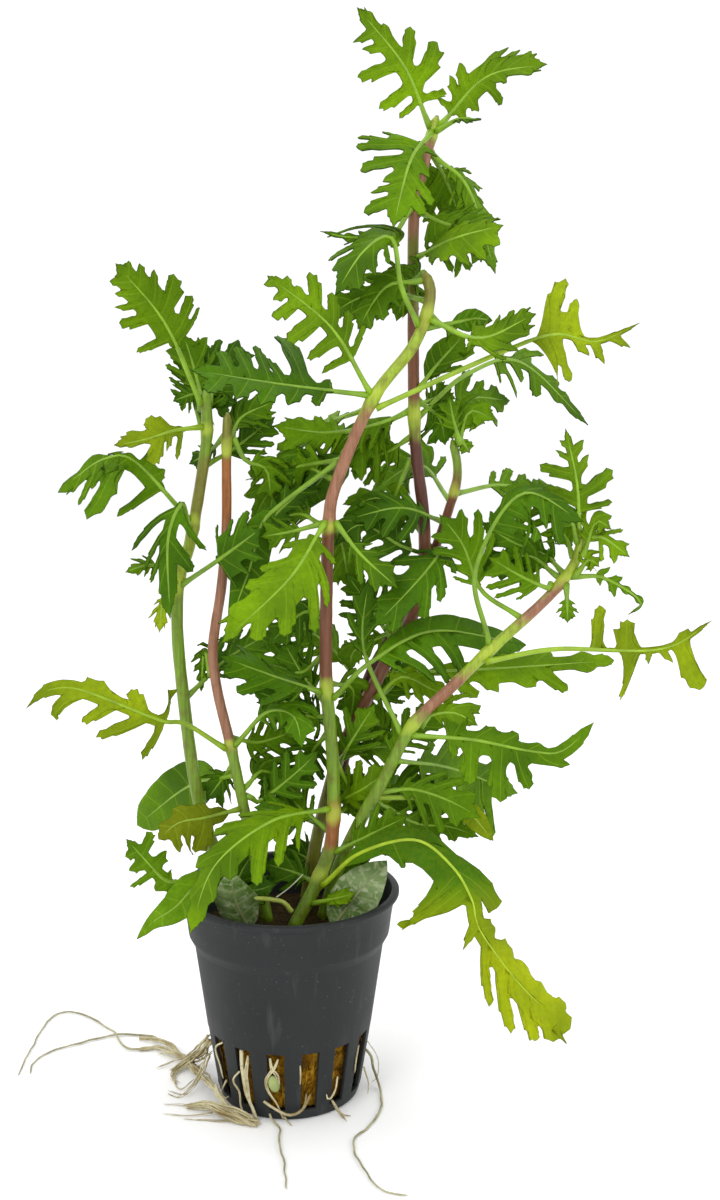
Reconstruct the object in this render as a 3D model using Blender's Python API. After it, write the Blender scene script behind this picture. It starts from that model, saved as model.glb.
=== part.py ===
"""A water wisteria growing in a slotted net pot, with its stems, leaves, roots and mineral wool plug.

The pot stands on z = 0 with its axis on the z axis, and the viewer's side is -y. The tables below
are in millimetres and are turned into metres as the shapes are made.
"""

import math
from collections import namedtuple

import bmesh
import bpy
from mathutils import Vector

MM = 0.001

# The pot, from its foot to its lip
POT_HEIGHT = 50.0
LIP_RADIUS = 26.0
LIP_DEPTH = 1.4
COLLAR_RADIUS = 25.0
STEP_HEIGHT = 39.8
STEP_RADIUS = 23.7
WALL_TOP = 37.6
WALL_RADIUS = 22.4
SLOT_TOP = 17.3
SLOT_TOP_RADIUS = 19.6
SLOT_FOOT = 2.6
SLOT_FOOT_RADIUS = 17.3
FOOT_RADIUS = 16.8
FOOT_EASE = 0.8
FLOOR_THICKNESS = 1.4
POT_WALL = 1.0
SLOTS = 15
SEGMENTS_PER_SLOT = 4
FIRST_SLOT = math.radians(-105.7)

# The mineral wool plug fills the pot to here, and stays this far from its wall
WOOL_FOOT = 1.8
WOOL_TOP = 41.0
WOOL_GAP = 0.5
WOOL_SIDES = 20

# Leaves and stems
BLADE_THICKNESS = 0.6
STALK_HALF_WIDTH = 0.65
LEAF_TO_STEM_GAP = 0.75
NODE_SWELL = 1.22
STEM_SIDES_RESOLUTION = 2
STEM_RING_PITCH = 11.0
ROOT_RING_PITCH = 4.6

TONES = {
    "pot_grey": ((0.052, 0.056, 0.057), 0.55),
    "wool_ochre": ((0.24, 0.13, 0.012), 0.95),
    "stem_green": ((0.27, 0.40, 0.03), 0.45),
    "stem_pink": ((0.28, 0.11, 0.06), 0.45),
    "stem_dark": ((0.10, 0.035, 0.02), 0.45),
    "root_cream": ((0.55, 0.47, 0.30), 0.7),
    "leaf_bright": ((0.16, 0.36, 0.012), 0.42),
    "leaf_mid": ((0.08, 0.25, 0.008), 0.42),
    "leaf_dark": ((0.025, 0.12, 0.005), 0.42),
    "leaf_yellow": ((0.33, 0.48, 0.02), 0.42),
    "leaf_old": ((0.20, 0.27, 0.12), 0.6),
}

# radii: at the foot and at the tip. nodes: heights of the swollen joints
Stem = namedtuple("Stem", "tone radii nodes route")
STEMS = {
    "left": Stem("stem_green", (1.6, 1.3), (123, 135, 157), [
        (-10, 4, 42.6), (-15, 3.5, 52), (-19.5, 1.5, 64), (-22, 0.5, 76), (-24, 1, 92),
        (-25.5, 1, 110), (-25, 1, 123), (-22.5, 1, 131), (-20, 1, 144), (-18.3, 1, 156), (-18.5, 0, 166)]),
    "middle": Stem("stem_pink", (1.6, 1.3), (84, 154), [
        (-5, -3, 42.6), (-6.5, -2, 50), (-10, -1, 67), (-13.4, -1, 84), (-16.5, -1, 98),
        (-17.5, -1, 108), (-16, -1, 122), (-14.4, -1, 136), (-13.9, 0, 150), (-13.6, 0, 161)]),
    "front": Stem("stem_pink", (1.9, 1.4), (54, 68, 99, 136, 164, 182), [
        (1, -7, 42.6), (7, -5, 54), (10, -4, 64), (10.2, -3, 80), (8.6, -5, 99), (8.4, -6, 112),
        (9, -6, 136), (10.8, -7, 146), (18.5, -8, 164), (27.5, -9, 176), (30.8, -9, 186), (29.5, -8, 191.5)]),
    "tall": Stem("stem_pink", (1.8, 1.4), (160, 222), [
        (4, 9, 42.6), (7, 9, 60), (12.5, 7, 81), (22, 5, 101), (30, 4, 117), (31.4, 3, 134),
        (29, 3, 155), (28.2, 2, 180), (28.1, 2, 205), (30, 2, 215), (33, 2, 226)]),
    "back": Stem("stem_dark", (1.6, 1.1), (143,), [
        (10, 12, 42.6), (12, 12, 70), (18, 11, 95), (24, 9.5, 108), (29, 8.5, 118), (34, 6, 129),
        (38.2, 3.5, 143), (38.8, 3, 149), (37.5, 3, 155)]),
    "right": Stem("stem_green", (1.8, 1.2), (91, 108, 124), [
        (8, -1, 42.6), (12, -1, 56), (17, -4, 68), (21.8, -6.5, 78), (28, -9, 91), (36.5, -9, 99.5),
        (44.5, -9, 107.5), (56, -9, 118), (61.5, -9, 124), (64.5, -9, 129), (66, -9, 136)]),
}

# radii: at the slot and at the tip. The strands lie on the surface that the pot stands on
Root = namedtuple("Root", "radii route")
ROOTS = {
    "root_mat_left": Root((1.4, 0.6), [
        (-19.6, -2, 9), (-23, 3, 5), (-26.5, 9, 2.2), (-30, 16, 1.3), (-33.5, 22, 0.8)]),
    "root_left_near": Root((0.5, 0.4), [
        (-35.5, 25, 0.6), (-39.5, 26.5, 0.6), (-44, 27, 0.6), (-48, 25.5, 0.6), (-53, 23, 0.6),
        (-58.5, 20, 0.6), (-62, 16.5, 0.6), (-63.8, 12.5, 0.6), (-63.6, 7.5, 0.6)]),
    "root_left_far": Root((0.5, 0.35), [
        (-34.5, 19.5, 0.6), (-39, 18.5, 0.6), (-42.5, 20.5, 0.8), (-45.5, 26.2, 1.8), (-48.5, 31, 0.8),
        (-52.5, 36.5, 0.6), (-57.5, 40.3, 0.6), (-61.6, 40.5, 0.6), (-64, 36, 0.6), (-65.2, 27, 0.6),
        (-65.8, 17, 0.6), (-66.4, 7, 0.6)]),
    "root_mat_low": Root((1.3, 0.5), [
        (-20.8, -1.5, 1.5), (-20.6, -6.5, 1.4), (-18, -11.5, 1.4), (-14, -15.8, 1.2), (-9, -18.8, 0.8)]),
    "root_right": Root((0.5, 0.35), [
        (19.6, -0.8, 7), (20.6, -1.2, 3.2), (21.4, -3.5, 0.8), (21.6, -8, 0.6), (20.8, -14, 0.6),
        (17.6, -21.5, 0.6), (14.6, -25.5, 0.6), (14.2, -31, 0.6), (16.3, -39, 0.6), (19.2, -46, 0.6),
        (24.5, -47.8, 0.6)]),
    "root_front": Root((0.45, 0.35), [
        (-4, -17.8, 0.6), (-2.3, -21, 0.6), (-2.4, -26, 0.6), (-1.5, -33, 0.6), (-1.2, -38.5, 0.6),
        (-0.8, -44.5, 0.6)]),
}

# stem, height: where the stalk leaves its stem. route: the rib's further points, out to the leaf's tip
# face: the way the blade looks. web: half the undivided blade's width. left, right: how far each lobe
# stands out of it, from the stalk to the tip. sweep: the lobes' angles to the rib, left and right.
# stalk: the bare share of the rib. fold: how far both halves rise towards the face, in degrees
Leaf = namedtuple("Leaf", "stem height route face web left right sweep stalk fold tone")
LEAVES = {
    "leaf_top_left": Leaf("tall", 224, [(25, -4, 235), (14.5, -12, 244.5)], (0.1, -1, -0.1), 2.6,
                          (4.5, 7.5, 7.5, 3.5, 1.5), (8, 6.5, 4.5, 4, 2), (85, 45), 0.12, 6, "leaf_bright"),
    "leaf_top_right": Leaf("tall", 225, [(43, -4, 233), (54.5, -12, 234)], (0.1, -1, 0.3), 3.2,
                           (3, 6, 5, 4, 2), (3, 5.5, 3, 1.5, 1), (45, 65), 0.12, 6, "leaf_bright"),
    "leaf_top_front": Leaf("tall", 221, [(26, -10, 214), (22, -17, 199.5)], (-0.1, -1, 0.2), 3.0,
                           (6, 7, 7, 6, 4), (7, 10.5, 9, 6, 8), (60, 85), 0.15, -8, "leaf_mid"),
    "leaf_top_droop": Leaf("tall", 217, [(40, 0, 210), (46.5, 1, 192)], (0.4, -0.8, 0.4), 3.2,
                           (3, 3, 4, 4, 4), (5, 6, 7, 7, 5), (40, 40), 0.12, -14, "leaf_mid"),
    "leaf_high_right": Leaf("tall", 195, [(36, -9, 198.5), (46, -12, 201)], (-0.1, -0.9, 0.5), 4.6,
                            (2, 3, 3, 2), (3, 6, 8, 8), (40, 75), 0.1, -8, "leaf_bright"),
    "leaf_shoulder_left": Leaf("front", 180, [(24, -14, 188), (22, -13, 198), (16, -13, 195), (10, -13, 186)],
                               (-0.2, -0.6, 0.7), 3.6, (3, 5, 6, 5, 3), (8, 5, 5, 4, 3), (60, 60), 0.45, -12,
                               "leaf_mid"),
    "leaf_neck_left": Leaf("front", 190, [(21, -8, 188), (15, -10, 179)], (-0.2, -1, 0.3), 3.6,
                           (6, 4, 3, 2), (5, 5, 4, 3), (60, 50), 0.1, 0, "leaf_mid"),
    "leaf_feather": Leaf("front", 165, [(9, -17, 179), (-4, -28, 188.5)], (0.1, -1, 0.2), 1.9,
                         (7, 8, 6, 5, 3, 2), (5, 8, 10, 8, 3, 2), (85, 60), 0.2, 8, "leaf_bright"),
    "leaf_long_left": Leaf("front", 163, [(-1, -15, 167), (-20.5, -18, 170)], (0, -0.7, 0.7), 3.2,
                           (3, 4, 6, 9, 7, 5), (2, 9, 6, 5, 6, 4), (60, 65), 0.18, 4, "leaf_dark"),
    "leaf_crown_left": Leaf("left", 164, [(-26.5, -8, 180), (-35.5, -18, 191.5)], (0.1, -1, 0.2), 4.0,
                            (5, 3, 7, 6, 4, 2), (7, 8, 7, 5, 4, 2), (75, 50), 0.34, 6, "leaf_bright"),
    "leaf_right_upper": Leaf("front", 181, [(41, -16, 177), (52, -20, 182)], (0.1, -0.8, 0.6), 4.0,
                             (6, 7, 6, 4), (3, 4, 3, 2), (50, 50), 0.36, 0, "leaf_bright"),
    "leaf_long_right": Leaf("front", 164, [(45.5, -12, 174), (57, -15, 178), (75, -17, 179)],
                            (0, -1, 0.3), 0.9, (4, 9, 2, 2, 3), (8, 10, 3, 4, 3), (80, 75), 0.5, 0,
                            "leaf_yellow"),
    "leaf_right_low": Leaf("tall", 160, [(41.5, 10, 170), (56, 20, 173), (74, 30, 161)], (0, -0.8, 0.6), 1.8,
                           (3, 4, 4, 3, 2), (4, 5, 4, 3, 2), (55, 60), 0.4, -10, "leaf_mid"),
    "leaf_back_top": Leaf("back", 154, [(42.5, 14, 164), (54.5, 26, 164)], (0.1, -1, 0.3), 2.0,
                          (5, 6, 5, 3), (6, 4, 3, 2), (55, 60), 0.2, 4, "leaf_mid"),
    "leaf_back_right": Leaf("back", 143, [(50.5, 14, 144), (66.5, 24, 141.5)], (0, -0.8, 0.7), 1.6,
                            (4, 5, 4, 3), (4, 5, 4, 3), (60, 60), 0.3, 0, "leaf_mid"),
    "leaf_left_small": Leaf("left", 157, [(-25, -6, 157), (-36, -12, 154)], (0, -1, 0.3), 2.0,
                            (6, 8, 2), (1.5, 6, 2), (75, 55), 0.2, 0, "leaf_yellow"),
    "leaf_far_left": Leaf("left", 137, [(-33.5, -9, 150.5), (-39.5, -14, 151), (-44.5, -20, 147.5),
                          (-48, -22, 144.5)], (0, -0.5, 0.9), 3.0, (7, 10, 10, 7, 3), (1.5, 2, 2, 1.5, 1),
                          (70, 60), 0.3, -28, "leaf_mid"),
    "leaf_left_hanging": Leaf("left", 134, [(-23.5, -7, 141), (-26.5, -9, 133), (-28, -12, 116)],
                              (0, -1, 0.3), 2.2, (7, 8, 4, 2), (4, 8, 5, 3), (35, 40), 0.2, -20, "leaf_dark"),
    "leaf_left_folded": Leaf("left", 123, [(-15, -8, 129), (-6, -12, 136)], (-0.3, -0.9, 0.2), 3.8,
                             (2, 5, 6, 3), (8, 8, 5, 3), (60, 75), 0.45, -15, "leaf_dark"),
    "leaf_bright_front": Leaf("front", 136, [(0, -18, 125.5), (-14, -28, 113.5)], (-0.1, -0.8, 0.6), 6.0,
                              (5, 6, 4, 3, 2), (3, 3, 3, 2, 2), (55, 45), 0.08, 4, "leaf_bright"),
    "leaf_tall_left": Leaf("tall", 159, [(20, 5, 157), (11, 5, 148)], (0, -0.7, 0.7), 3.8,
                           (4, 6, 7, 4), (1, 1.5, 2, 1), (60, 50), 0.15, -14, "leaf_mid"),
    "leaf_back_left": Leaf("front", 161, [(8, 10, 158), (-3, 25, 150.5)], (0, -0.8, 0.6), 3.0,
                           (5, 7, 8, 5), (3, 4, 3, 2), (60, 55), 0.2, -10, "leaf_bright"),
    "leaf_back_centre": Leaf("back", 141, [(31.5, 20, 148.5), (20.5, 32, 141)], (0, -0.9, 0.4), 2.5,
                             (5, 6, 7, 4), (5, 6, 6, 3), (60, 60), 0.25, 0, "leaf_mid"),
    "leaf_back_cross": Leaf("back", 136, [(25, -5, 140), (13, -1, 137)], (0, -0.9, 0.5), 2.2,
                            (5, 7, 5, 3), (2, 3, 4, 2), (65, 50), 0.15, 0, "leaf_dark"),
    "leaf_big_dark": Leaf("back", 130, [(35, -1, 130), (29, -8, 124), (19, -11, 114)], (-0.2, -0.9, 0.5), 4.2,
                          (2, 3, 3, 2), (4, 6, 4, 2), (50, 60), 0.12, 0, "leaf_dark"),
    "leaf_right_rising": Leaf("right", 89, [(17, -6, 108), (18, -5, 124)], (0.2, -1, 0), 1.8,
                              (3, 4, 3), (3, 4, 3), (45, 45), 0.5, 12, "leaf_dark"),
    "leaf_front_left": Leaf("front", 99, [(-3, -12, 103), (-15, -14, 108)], (0, -0.5, 0.9), 5.0,
                            (4, 5, 4, 3), (5, 7, 6, 3), (55, 55), 0.12, -6, "leaf_dark"),
    "leaf_front_arch": Leaf("front", 97, [(18, -12, 106), (33, -5, 112), (56, 4, 107)], (0, -0.8, 0.6), 4.0,
                            (2, 2, 2, 2, 1.5), (2, 6, 6, 3, 2), (45, 65), 0.25, -6, "leaf_dark"),
    "leaf_right_arch": Leaf("right", 109, [(41, -14, 127), (50, -18, 144), (64, -18, 138)],
                            (-0.2, -0.7, 0.7), 3.2, (3, 3, 3, 2), (6, 8, 7, 4), (45, 75), 0.5, -14,
                            "leaf_dark"),
    "leaf_right_inside": Leaf("right", 124, [(54, -4, 129), (44, 2, 125)], (0, -0.9, 0.4), 2.4,
                              (5, 7, 6, 3), (5, 6, 5, 3), (60, 60), 0.12, 0, "leaf_dark"),
    "leaf_tip_feather": Leaf("right", 135, [(63, -14, 146), (59, -20, 158)], (0.1, -1, 0.1), 1.1,
                             (5, 7, 6, 3, 2), (7, 9, 8, 4, 2), (60, 55), 0.12, 0, "leaf_bright"),
    "leaf_low_ladder": Leaf("right", 107, [(59, -16, 109), (80, -24, 111), (90, -28, 118)],
                            (0, -1, 0.3), 0.8, (8, 6, 0, 2, 4), (0, 11, 3, 3, 8), (75, 80), 0.42, 0,
                            "leaf_yellow"),
    "leaf_right_under": Leaf("tall", 100, [(50, 11, 100), (80.5, 18, 100.5)], (0, -0.8, 0.6), 3.4,
                             (1, 2, 1.5, 2, 1.5), (4, 2, 2, 5, 2), (45, 55), 0.15, 0, "leaf_bright"),
    "leaf_left_feather": Leaf("middle", 85, [(-25, -10, 91.5), (-41.5, -18, 100), (-55.5, -25, 99.5)],
                              (0, -1, 0.3), 1.6, (8, 8, 6, 5, 4), (7, 6, 6, 2, 1.5), (62, 75), 0.3, 0,
                              "leaf_yellow"),
    "leaf_middle_right": Leaf("middle", 85, [(-5, -8, 94), (1, -12, 94), (3, -14, 87)], (0, -0.8, 0.6),
                              2.0, (4, 5, 5, 3), (3, 4, 4, 2), (60, 60), 0.3, -10, "leaf_dark"),
    "leaf_right_spray": Leaf("right", 90, [(41, -15, 89), (54, -18, 87), (67, -20, 94)],
                             (0, -0.9, 0.4), 3.0, (4, 5, 4, 2, 2), (6, 8, 9, 3, 2), (40, 80), 0.15, -8,
                             "leaf_mid"),
    "leaf_right_shade": Leaf("right", 82, [(39.5, 8, 76), (58, 22, 65.5)], (0, -0.9, 0.4), 4.0,
                             (5, 6, 5, 3), (6, 8, 9, 5), (50, 75), 0.15, -6, "leaf_mid"),
    "leaf_low_right": Leaf("front", 68, [(19.5, 12, 68), (33.5, 26, 67.5)], (0, -0.8, 0.6), 2.2,
                           (5, 6, 5, 3), (5, 6, 5, 3), (55, 55), 0.2, 0, "leaf_dark"),
    "leaf_long_hanging": Leaf("front", 54, [(16, -12, 62), (28, -18, 67), (36, -22, 62), (40, -25, 55.5),
                              (42, -26, 48.5), (51.5, -28, 36), (62, -28, 26.5)], (0.2, -0.8, 0.6), 4.0,
                              (1, 2, 3, 4, 0, 1, 1, 2), (3, 4, 6, 14, 0, 6, 6, 4), (35, 60), 0.12, -6,
                              "leaf_yellow"),
    "leaf_rim_front": Leaf("front", 69, [(-4, -16, 71), (-16, -28, 65), (-21, -33, 52)],
                           (-0.2, -0.7, 0.7), 5.6, (2, 8, 4, 2), (1.5, 1.5, 1.5, 1), (45, 40), 0.12, -4,
                           "leaf_bright"),
    "leaf_left_ovate": Leaf("middle", 77, [(-24.5, 12, 72), (-39.5, 26, 58)], (-0.1, -1, 0.35), 8.0,
                            (1, 1, 1, 1), (1, 1, 1, 1), (40, 40), 0.1, 0, "leaf_dark"),
    "leaf_left_olive": Leaf("middle", 69, [(-19, -8, 69.5), (-25, -10, 69), (-29.5, -11, 65.5)],
                            (0, -0.9, 0.5), 4.4, (2, 2, 2), (1, 1, 1), (40, 40), 0.1, -6, "leaf_dark"),
    "leaf_left_curled": Leaf("left", 56, [(-22, -2, 53.5), (-28, -4, 53), (-33, -3, 57.5), (-38, -1, 62.5)],
                             (0, -1, 0.3), 2.0, (3, 6, 4), (2, 3, 4), (70, 50), 0.35, -10, "leaf_mid"),
    "leaf_rim_left": Leaf("left", 50, [(-19.5, -10, 55.5), (-25.5, -16.5, 51.5), (-30, -18, 49),
                          (-34, -18, 44.8)], (-0.2, -0.8, 0.5), 3.6, (1, 1, 1), (1, 1, 1), (45, 45), 0.3, -6,
                          "leaf_mid"),
    "leaf_old_left": Leaf(None, 0, [(-9, -9, 42.8), (-12, -11, 50), (-13.5, -13, 58.5)], (-0.2, -1, 0.2), 5.0,
                          (0, 0, 0), (0, 0, 0), (40, 40), 0.1, 0, "leaf_old"),
    "leaf_old_right": Leaf(None, 0, [(9.5, -10, 42.8), (15.5, -10, 51.5), (22.5, -8.5, 59)], (-0.3, -1, 0.3),
                           5.0, (0, 0, 0), (0, 0, 0), (40, 40), 0.1, 0, "leaf_old"),
}


def clear_scene():
    for old in list(bpy.data.objects):
        bpy.data.objects.remove(old)


def finish_material(name, tone):
    """The piece's own material, in its tone's colour and roughness."""
    colour, roughness = TONES[tone]
    material = bpy.data.materials.new(name + "_finish")
    material.use_nodes = True
    shader = material.node_tree.nodes["Principled BSDF"]
    shader.inputs["Base Color"].default_value = (*colour, 1.0)
    shader.inputs["Roughness"].default_value = roughness
    shader.inputs["Metallic"].default_value = 0.0
    material.diffuse_color = (*colour, 1.0)
    return material


def add_object(name, data, tone):
    """An object in the scene that shows the given mesh or curve."""
    piece = bpy.data.objects.new(name, data)
    bpy.context.scene.collection.objects.link(piece)
    data.materials.append(finish_material(name, tone))
    return piece


def mesh_from(name, bm):
    """A mesh that holds what the bmesh holds, in metres."""
    bmesh.ops.scale(bm, vec=(MM, MM, MM), verts=bm.verts)
    mesh = bpy.data.meshes.new(name)
    bm.to_mesh(mesh)
    bm.free()
    return mesh


def smooth_line(points, steps):
    """Points on a smooth curve through the given ones, with this many steps from each to the next."""
    corners = [Vector(p) for p in points]
    before = corners[0] * 2 - corners[1]
    after = corners[-1] * 2 - corners[-2]
    knots = [before, *corners, after]
    line = []
    for a, b, c, d in zip(knots, knots[1:], knots[2:], knots[3:]):
        for i in range(steps):
            t = i / steps
            line.append(0.5 * (2 * b + (c - a) * t + (2 * a - 5 * b + 4 * c - d) * t ** 2
                               + (3 * b - a - 3 * c + d) * t ** 3))
    line.append(corners[-1])
    return line


class Rib:
    """A smooth line that is read by the distance along it."""

    def __init__(self, points):
        self.line = smooth_line(points, 12)
        self.reach = [0.0]
        for a, b in zip(self.line, self.line[1:]):
            self.reach.append(self.reach[-1] + (b - a).length)
        self.length = self.reach[-1]

    def at(self, distance):
        """The point at a distance along the line, and the line's direction there."""
        distance = min(max(distance, 0.0), self.length)
        last = len(self.line) - 2
        i = next((k for k in range(last) if self.reach[k + 1] > distance), last)
        share = (distance - self.reach[i]) / (self.reach[i + 1] - self.reach[i])
        ahead = self.line[min(i + 2, last + 1)] - self.line[i]
        behind = self.line[i + 1] - self.line[max(i - 1, 0)]
        return self.line[i].lerp(self.line[i + 1], share), behind.lerp(ahead, share).normalized()

    def at_height(self, height):
        """The distance along the line at which it first reaches a height."""
        i = next(k for k, p in enumerate(self.line) if p.z >= height or k == len(self.line) - 1)
        return self.reach[i]


def stem_radius(stem, share, height):
    """A stem's radius, which falls towards its tip and swells at its joints."""
    foot, tip = stem.radii
    near = min((abs(height - node) for node in stem.nodes), default=9.0)
    swell = 1 + (NODE_SWELL - 1) * max(0.0, 1 - near / 2.5)
    return (foot + (tip - foot) * share) * swell


def stations_along(rib, pitch, stops=()):
    """Distances along a line about one pitch apart, with the nearest moved onto each of the stops."""
    count = max(3, round(rib.length / pitch))
    stations = [rib.length * i / count for i in range(count + 1)]
    for stop in stops:
        nearest = min(range(1, count), key=lambda i: abs(stations[i] - stop))
        stations[nearest] = stop
    return stations


def tube(name, points, radii, sides, tone):
    """A filled tube along the points, with a radius at each."""
    curve = bpy.data.curves.new(name, "CURVE")
    curve.dimensions = "3D"
    curve.bevel_depth = MM
    curve.bevel_resolution = sides
    curve.use_fill_caps = True
    spline = curve.splines.new("POLY")
    spline.points.add(len(points) - 1)
    for knot, place, radius in zip(spline.points, points, radii):
        knot.co = (*(place * MM), 1.0)
        knot.radius = radius
    return add_object(name, curve, tone)


def make_stems():
    for name, stem in STEMS.items():
        rib = Rib(stem.route)
        joints = [rib.at_height(node) for node in stem.nodes]
        stations = stations_along(rib, STEM_RING_PITCH, joints)
        points = [rib.at(station)[0] for station in stations]
        radii = [stem_radius(stem, station / rib.length, p.z) for station, p in zip(stations, points)]
        tube("stem_" + name, points, radii, STEM_SIDES_RESOLUTION, stem.tone)


def make_roots():
    for name, root in ROOTS.items():
        rib = Rib(root.route)
        stations = stations_along(rib, ROOT_RING_PITCH)
        points = [rib.at(station)[0] for station in stations]
        start, end = root.radii
        radii = [start + (end - start) * station / rib.length for station in stations]
        tube(name, points, radii, 1, "root_cream")


def web_at(leaf, share):
    """Half the blade's undivided width, by the share of the blade from stalk to tip."""
    return max(STALK_HALF_WIDTH, leaf.web * math.sin(math.pi * (0.16 + 0.74 * share)))


def flat_leaf(leaf, length):
    """The leaf laid flat in a bmesh: x is the distance along its rib, y the way to its left edge."""
    bm = bmesh.new()
    lobes = len(leaf.left)
    stalk = leaf.stalk * length
    blade = length - stalk
    shares = [i / (lobes + 0.9) for i in range(lobes + 1)]
    stations = [0.0, stalk * 0.55] + [stalk + blade * share for share in shares]
    widths = [STALK_HALF_WIDTH, STALK_HALF_WIDTH] + [web_at(leaf, share) for share in shares]
    knots = [bm.verts.new((x, 0, 0)) for x in stations]
    rib = [bm.edges.new(pair) for pair in zip(knots, knots[1:])]
    ends = []
    for side, lengths, sweep in ((1, leaf.left, leaf.sweep[0]), (-1, leaf.right, leaf.sweep[1])):
        made = bmesh.ops.extrude_edge_only(bm, edges=rib)["geom"]
        margin = sorted((v for v in made if isinstance(v, bmesh.types.BMVert)), key=lambda v: v.co.x)
        for vert, width in zip(margin, widths):
            vert.co.y = side * width
        ends.append(margin[-1])
        hems = [bm.edges.get(pair) for pair in zip(margin[2:], margin[3:])]
        for k, (hem, reach) in enumerate(zip(hems, lengths)):
            if reach <= 0:
                continue
            angle = math.radians(sweep * (1 - 0.3 * k / lobes))
            root = (hem.verts[0].co + hem.verts[1].co) / 2
            tip = root + Vector((math.cos(angle), side * math.sin(angle), 0)) * reach
            geom = bmesh.ops.extrude_edge_only(bm, edges=[hem])["geom"]
            outer = [v for v in geom if isinstance(v, bmesh.types.BMVert)]
            bmesh.ops.pointmerge(bm, verts=outer, merge_co=tip)
    last = [bm.edges.get((knots[-1], end)) for end in ends]
    geom = bmesh.ops.extrude_edge_only(bm, edges=last)["geom"]
    outer = [v for v in geom if isinstance(v, bmesh.types.BMVert)]
    bmesh.ops.pointmerge(bm, verts=outer, merge_co=(length, 0, 0))
    return bm


def place_leaf(bm, leaf, rib):
    """Bends the flat leaf along its rib, with its blade towards the way that it faces."""
    face = Vector(leaf.face)
    fold = math.radians(leaf.fold)
    for vert in bm.verts:
        along, across = vert.co.x, vert.co.y
        point, ahead = rib.at(along)
        up = (face - face.dot(ahead) * ahead).normalized()
        left = up.cross(ahead)
        vert.co = point + left * (across * math.cos(fold)) + up * (abs(across) * math.sin(fold))


def leaf_rib(leaf, stem_ribs):
    """The line of a leaf's rib, from the skin of its stem to the leaf's tip."""
    if leaf.stem is None:
        return Rib(leaf.route)
    stem_rib = stem_ribs[leaf.stem]
    reach = stem_rib.at_height(leaf.height)
    core, ahead = stem_rib.at(reach)
    out = Vector(leaf.route[0]) - core
    out = (out - out.dot(ahead) * ahead).normalized()
    radius = stem_radius(STEMS[leaf.stem], reach / stem_rib.length, core.z)
    return Rib([core + out * (radius + LEAF_TO_STEM_GAP), *leaf.route])


def make_leaves():
    stem_ribs = {name: Rib(stem.route) for name, stem in STEMS.items()}
    for name, leaf in LEAVES.items():
        rib = leaf_rib(leaf, stem_ribs)
        bm = flat_leaf(leaf, rib.length)
        place_leaf(bm, leaf, rib)
        bmesh.ops.recalc_face_normals(bm, faces=bm.faces)
        piece = add_object(name, mesh_from(name, bm), leaf.tone)
        solid = piece.modifiers.new("thickness", "SOLIDIFY")
        solid.thickness = BLADE_THICKNESS * MM
        solid.offset = 0.0


def spun(profile, segments, start=0.0):
    """A bmesh turned round the z axis from a profile of radius and height points, joined end to end."""
    bm = bmesh.new()
    direction = Vector((math.cos(start), math.sin(start), 0))
    knots = [bm.verts.new(direction * radius + Vector((0, 0, height))) for radius, height in profile]
    edges = [bm.edges.new(pair) for pair in zip(knots, knots[1:])]
    bmesh.ops.spin(bm, geom=knots + edges, cent=(0, 0, 0), axis=(0, 0, 1), angle=math.tau,
                   steps=segments, use_merge=True)
    bmesh.ops.remove_doubles(bm, verts=bm.verts, dist=1e-4)
    bmesh.ops.recalc_face_normals(bm, faces=bm.faces)
    return bm


def make_pot():
    segments = SLOTS * SEGMENTS_PER_SLOT
    inner_wall = WALL_RADIUS - POT_WALL
    profile = [
        (0.0, 0.0),
        (FOOT_RADIUS - FOOT_EASE, 0.0),
        (FOOT_RADIUS, FOOT_EASE),
        (SLOT_FOOT_RADIUS, SLOT_FOOT),
        (SLOT_TOP_RADIUS, SLOT_TOP),
        (WALL_RADIUS, WALL_TOP),
        (STEP_RADIUS, STEP_HEIGHT),
        (COLLAR_RADIUS, POT_HEIGHT - LIP_DEPTH),
        (LIP_RADIUS, POT_HEIGHT - LIP_DEPTH + 0.3),
        (LIP_RADIUS, POT_HEIGHT),
        (COLLAR_RADIUS - POT_WALL, POT_HEIGHT),
        (STEP_RADIUS - POT_WALL, STEP_HEIGHT),
        (inner_wall, WALL_TOP),
        (SLOT_TOP_RADIUS - POT_WALL, SLOT_TOP),
        (SLOT_FOOT_RADIUS - POT_WALL, SLOT_FOOT),
        (FOOT_RADIUS - POT_WALL - 0.3, FLOOR_THICKNESS),
        (0.0, FLOOR_THICKNESS),
    ]
    bm = spun(profile, segments, FIRST_SLOT)
    cut_slots(bm)
    add_object("net_pot", mesh_from("net_pot", bm), "pot_grey")


def cut_slots(bm):
    """Opens every other pair of the wall's panels between the slots' foot and top, right through."""
    pitch = math.tau / SLOTS
    half = pitch / 4
    doomed = [[] for _ in range(SLOTS)]
    for panel in bm.faces:
        middle = panel.calc_center_median()
        heights = [v.co.z for v in panel.verts]
        if min(heights) < SLOT_FOOT - 0.01 or max(heights) > SLOT_TOP + 0.01:
            continue
        turn = (math.atan2(middle.y, middle.x) - FIRST_SLOT) % math.tau
        if turn % pitch < 2 * half:
            doomed[int(turn / pitch)].append(panel)
    for panels in doomed:
        rims = {e for p in panels for e in p.edges if sum(f in panels for f in e.link_faces) == 1}
        bmesh.ops.delete(bm, geom=panels, context="FACES_ONLY")
        bmesh.ops.bridge_loops(bm, edges=list(rims))
    loose = [e for e in bm.edges if not e.link_faces]
    bmesh.ops.delete(bm, geom=loose, context="EDGES")
    spare = [v for v in bm.verts if not v.link_faces]
    bmesh.ops.delete(bm, geom=spare, context="VERTS")
    bmesh.ops.recalc_face_normals(bm, faces=bm.faces)


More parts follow.
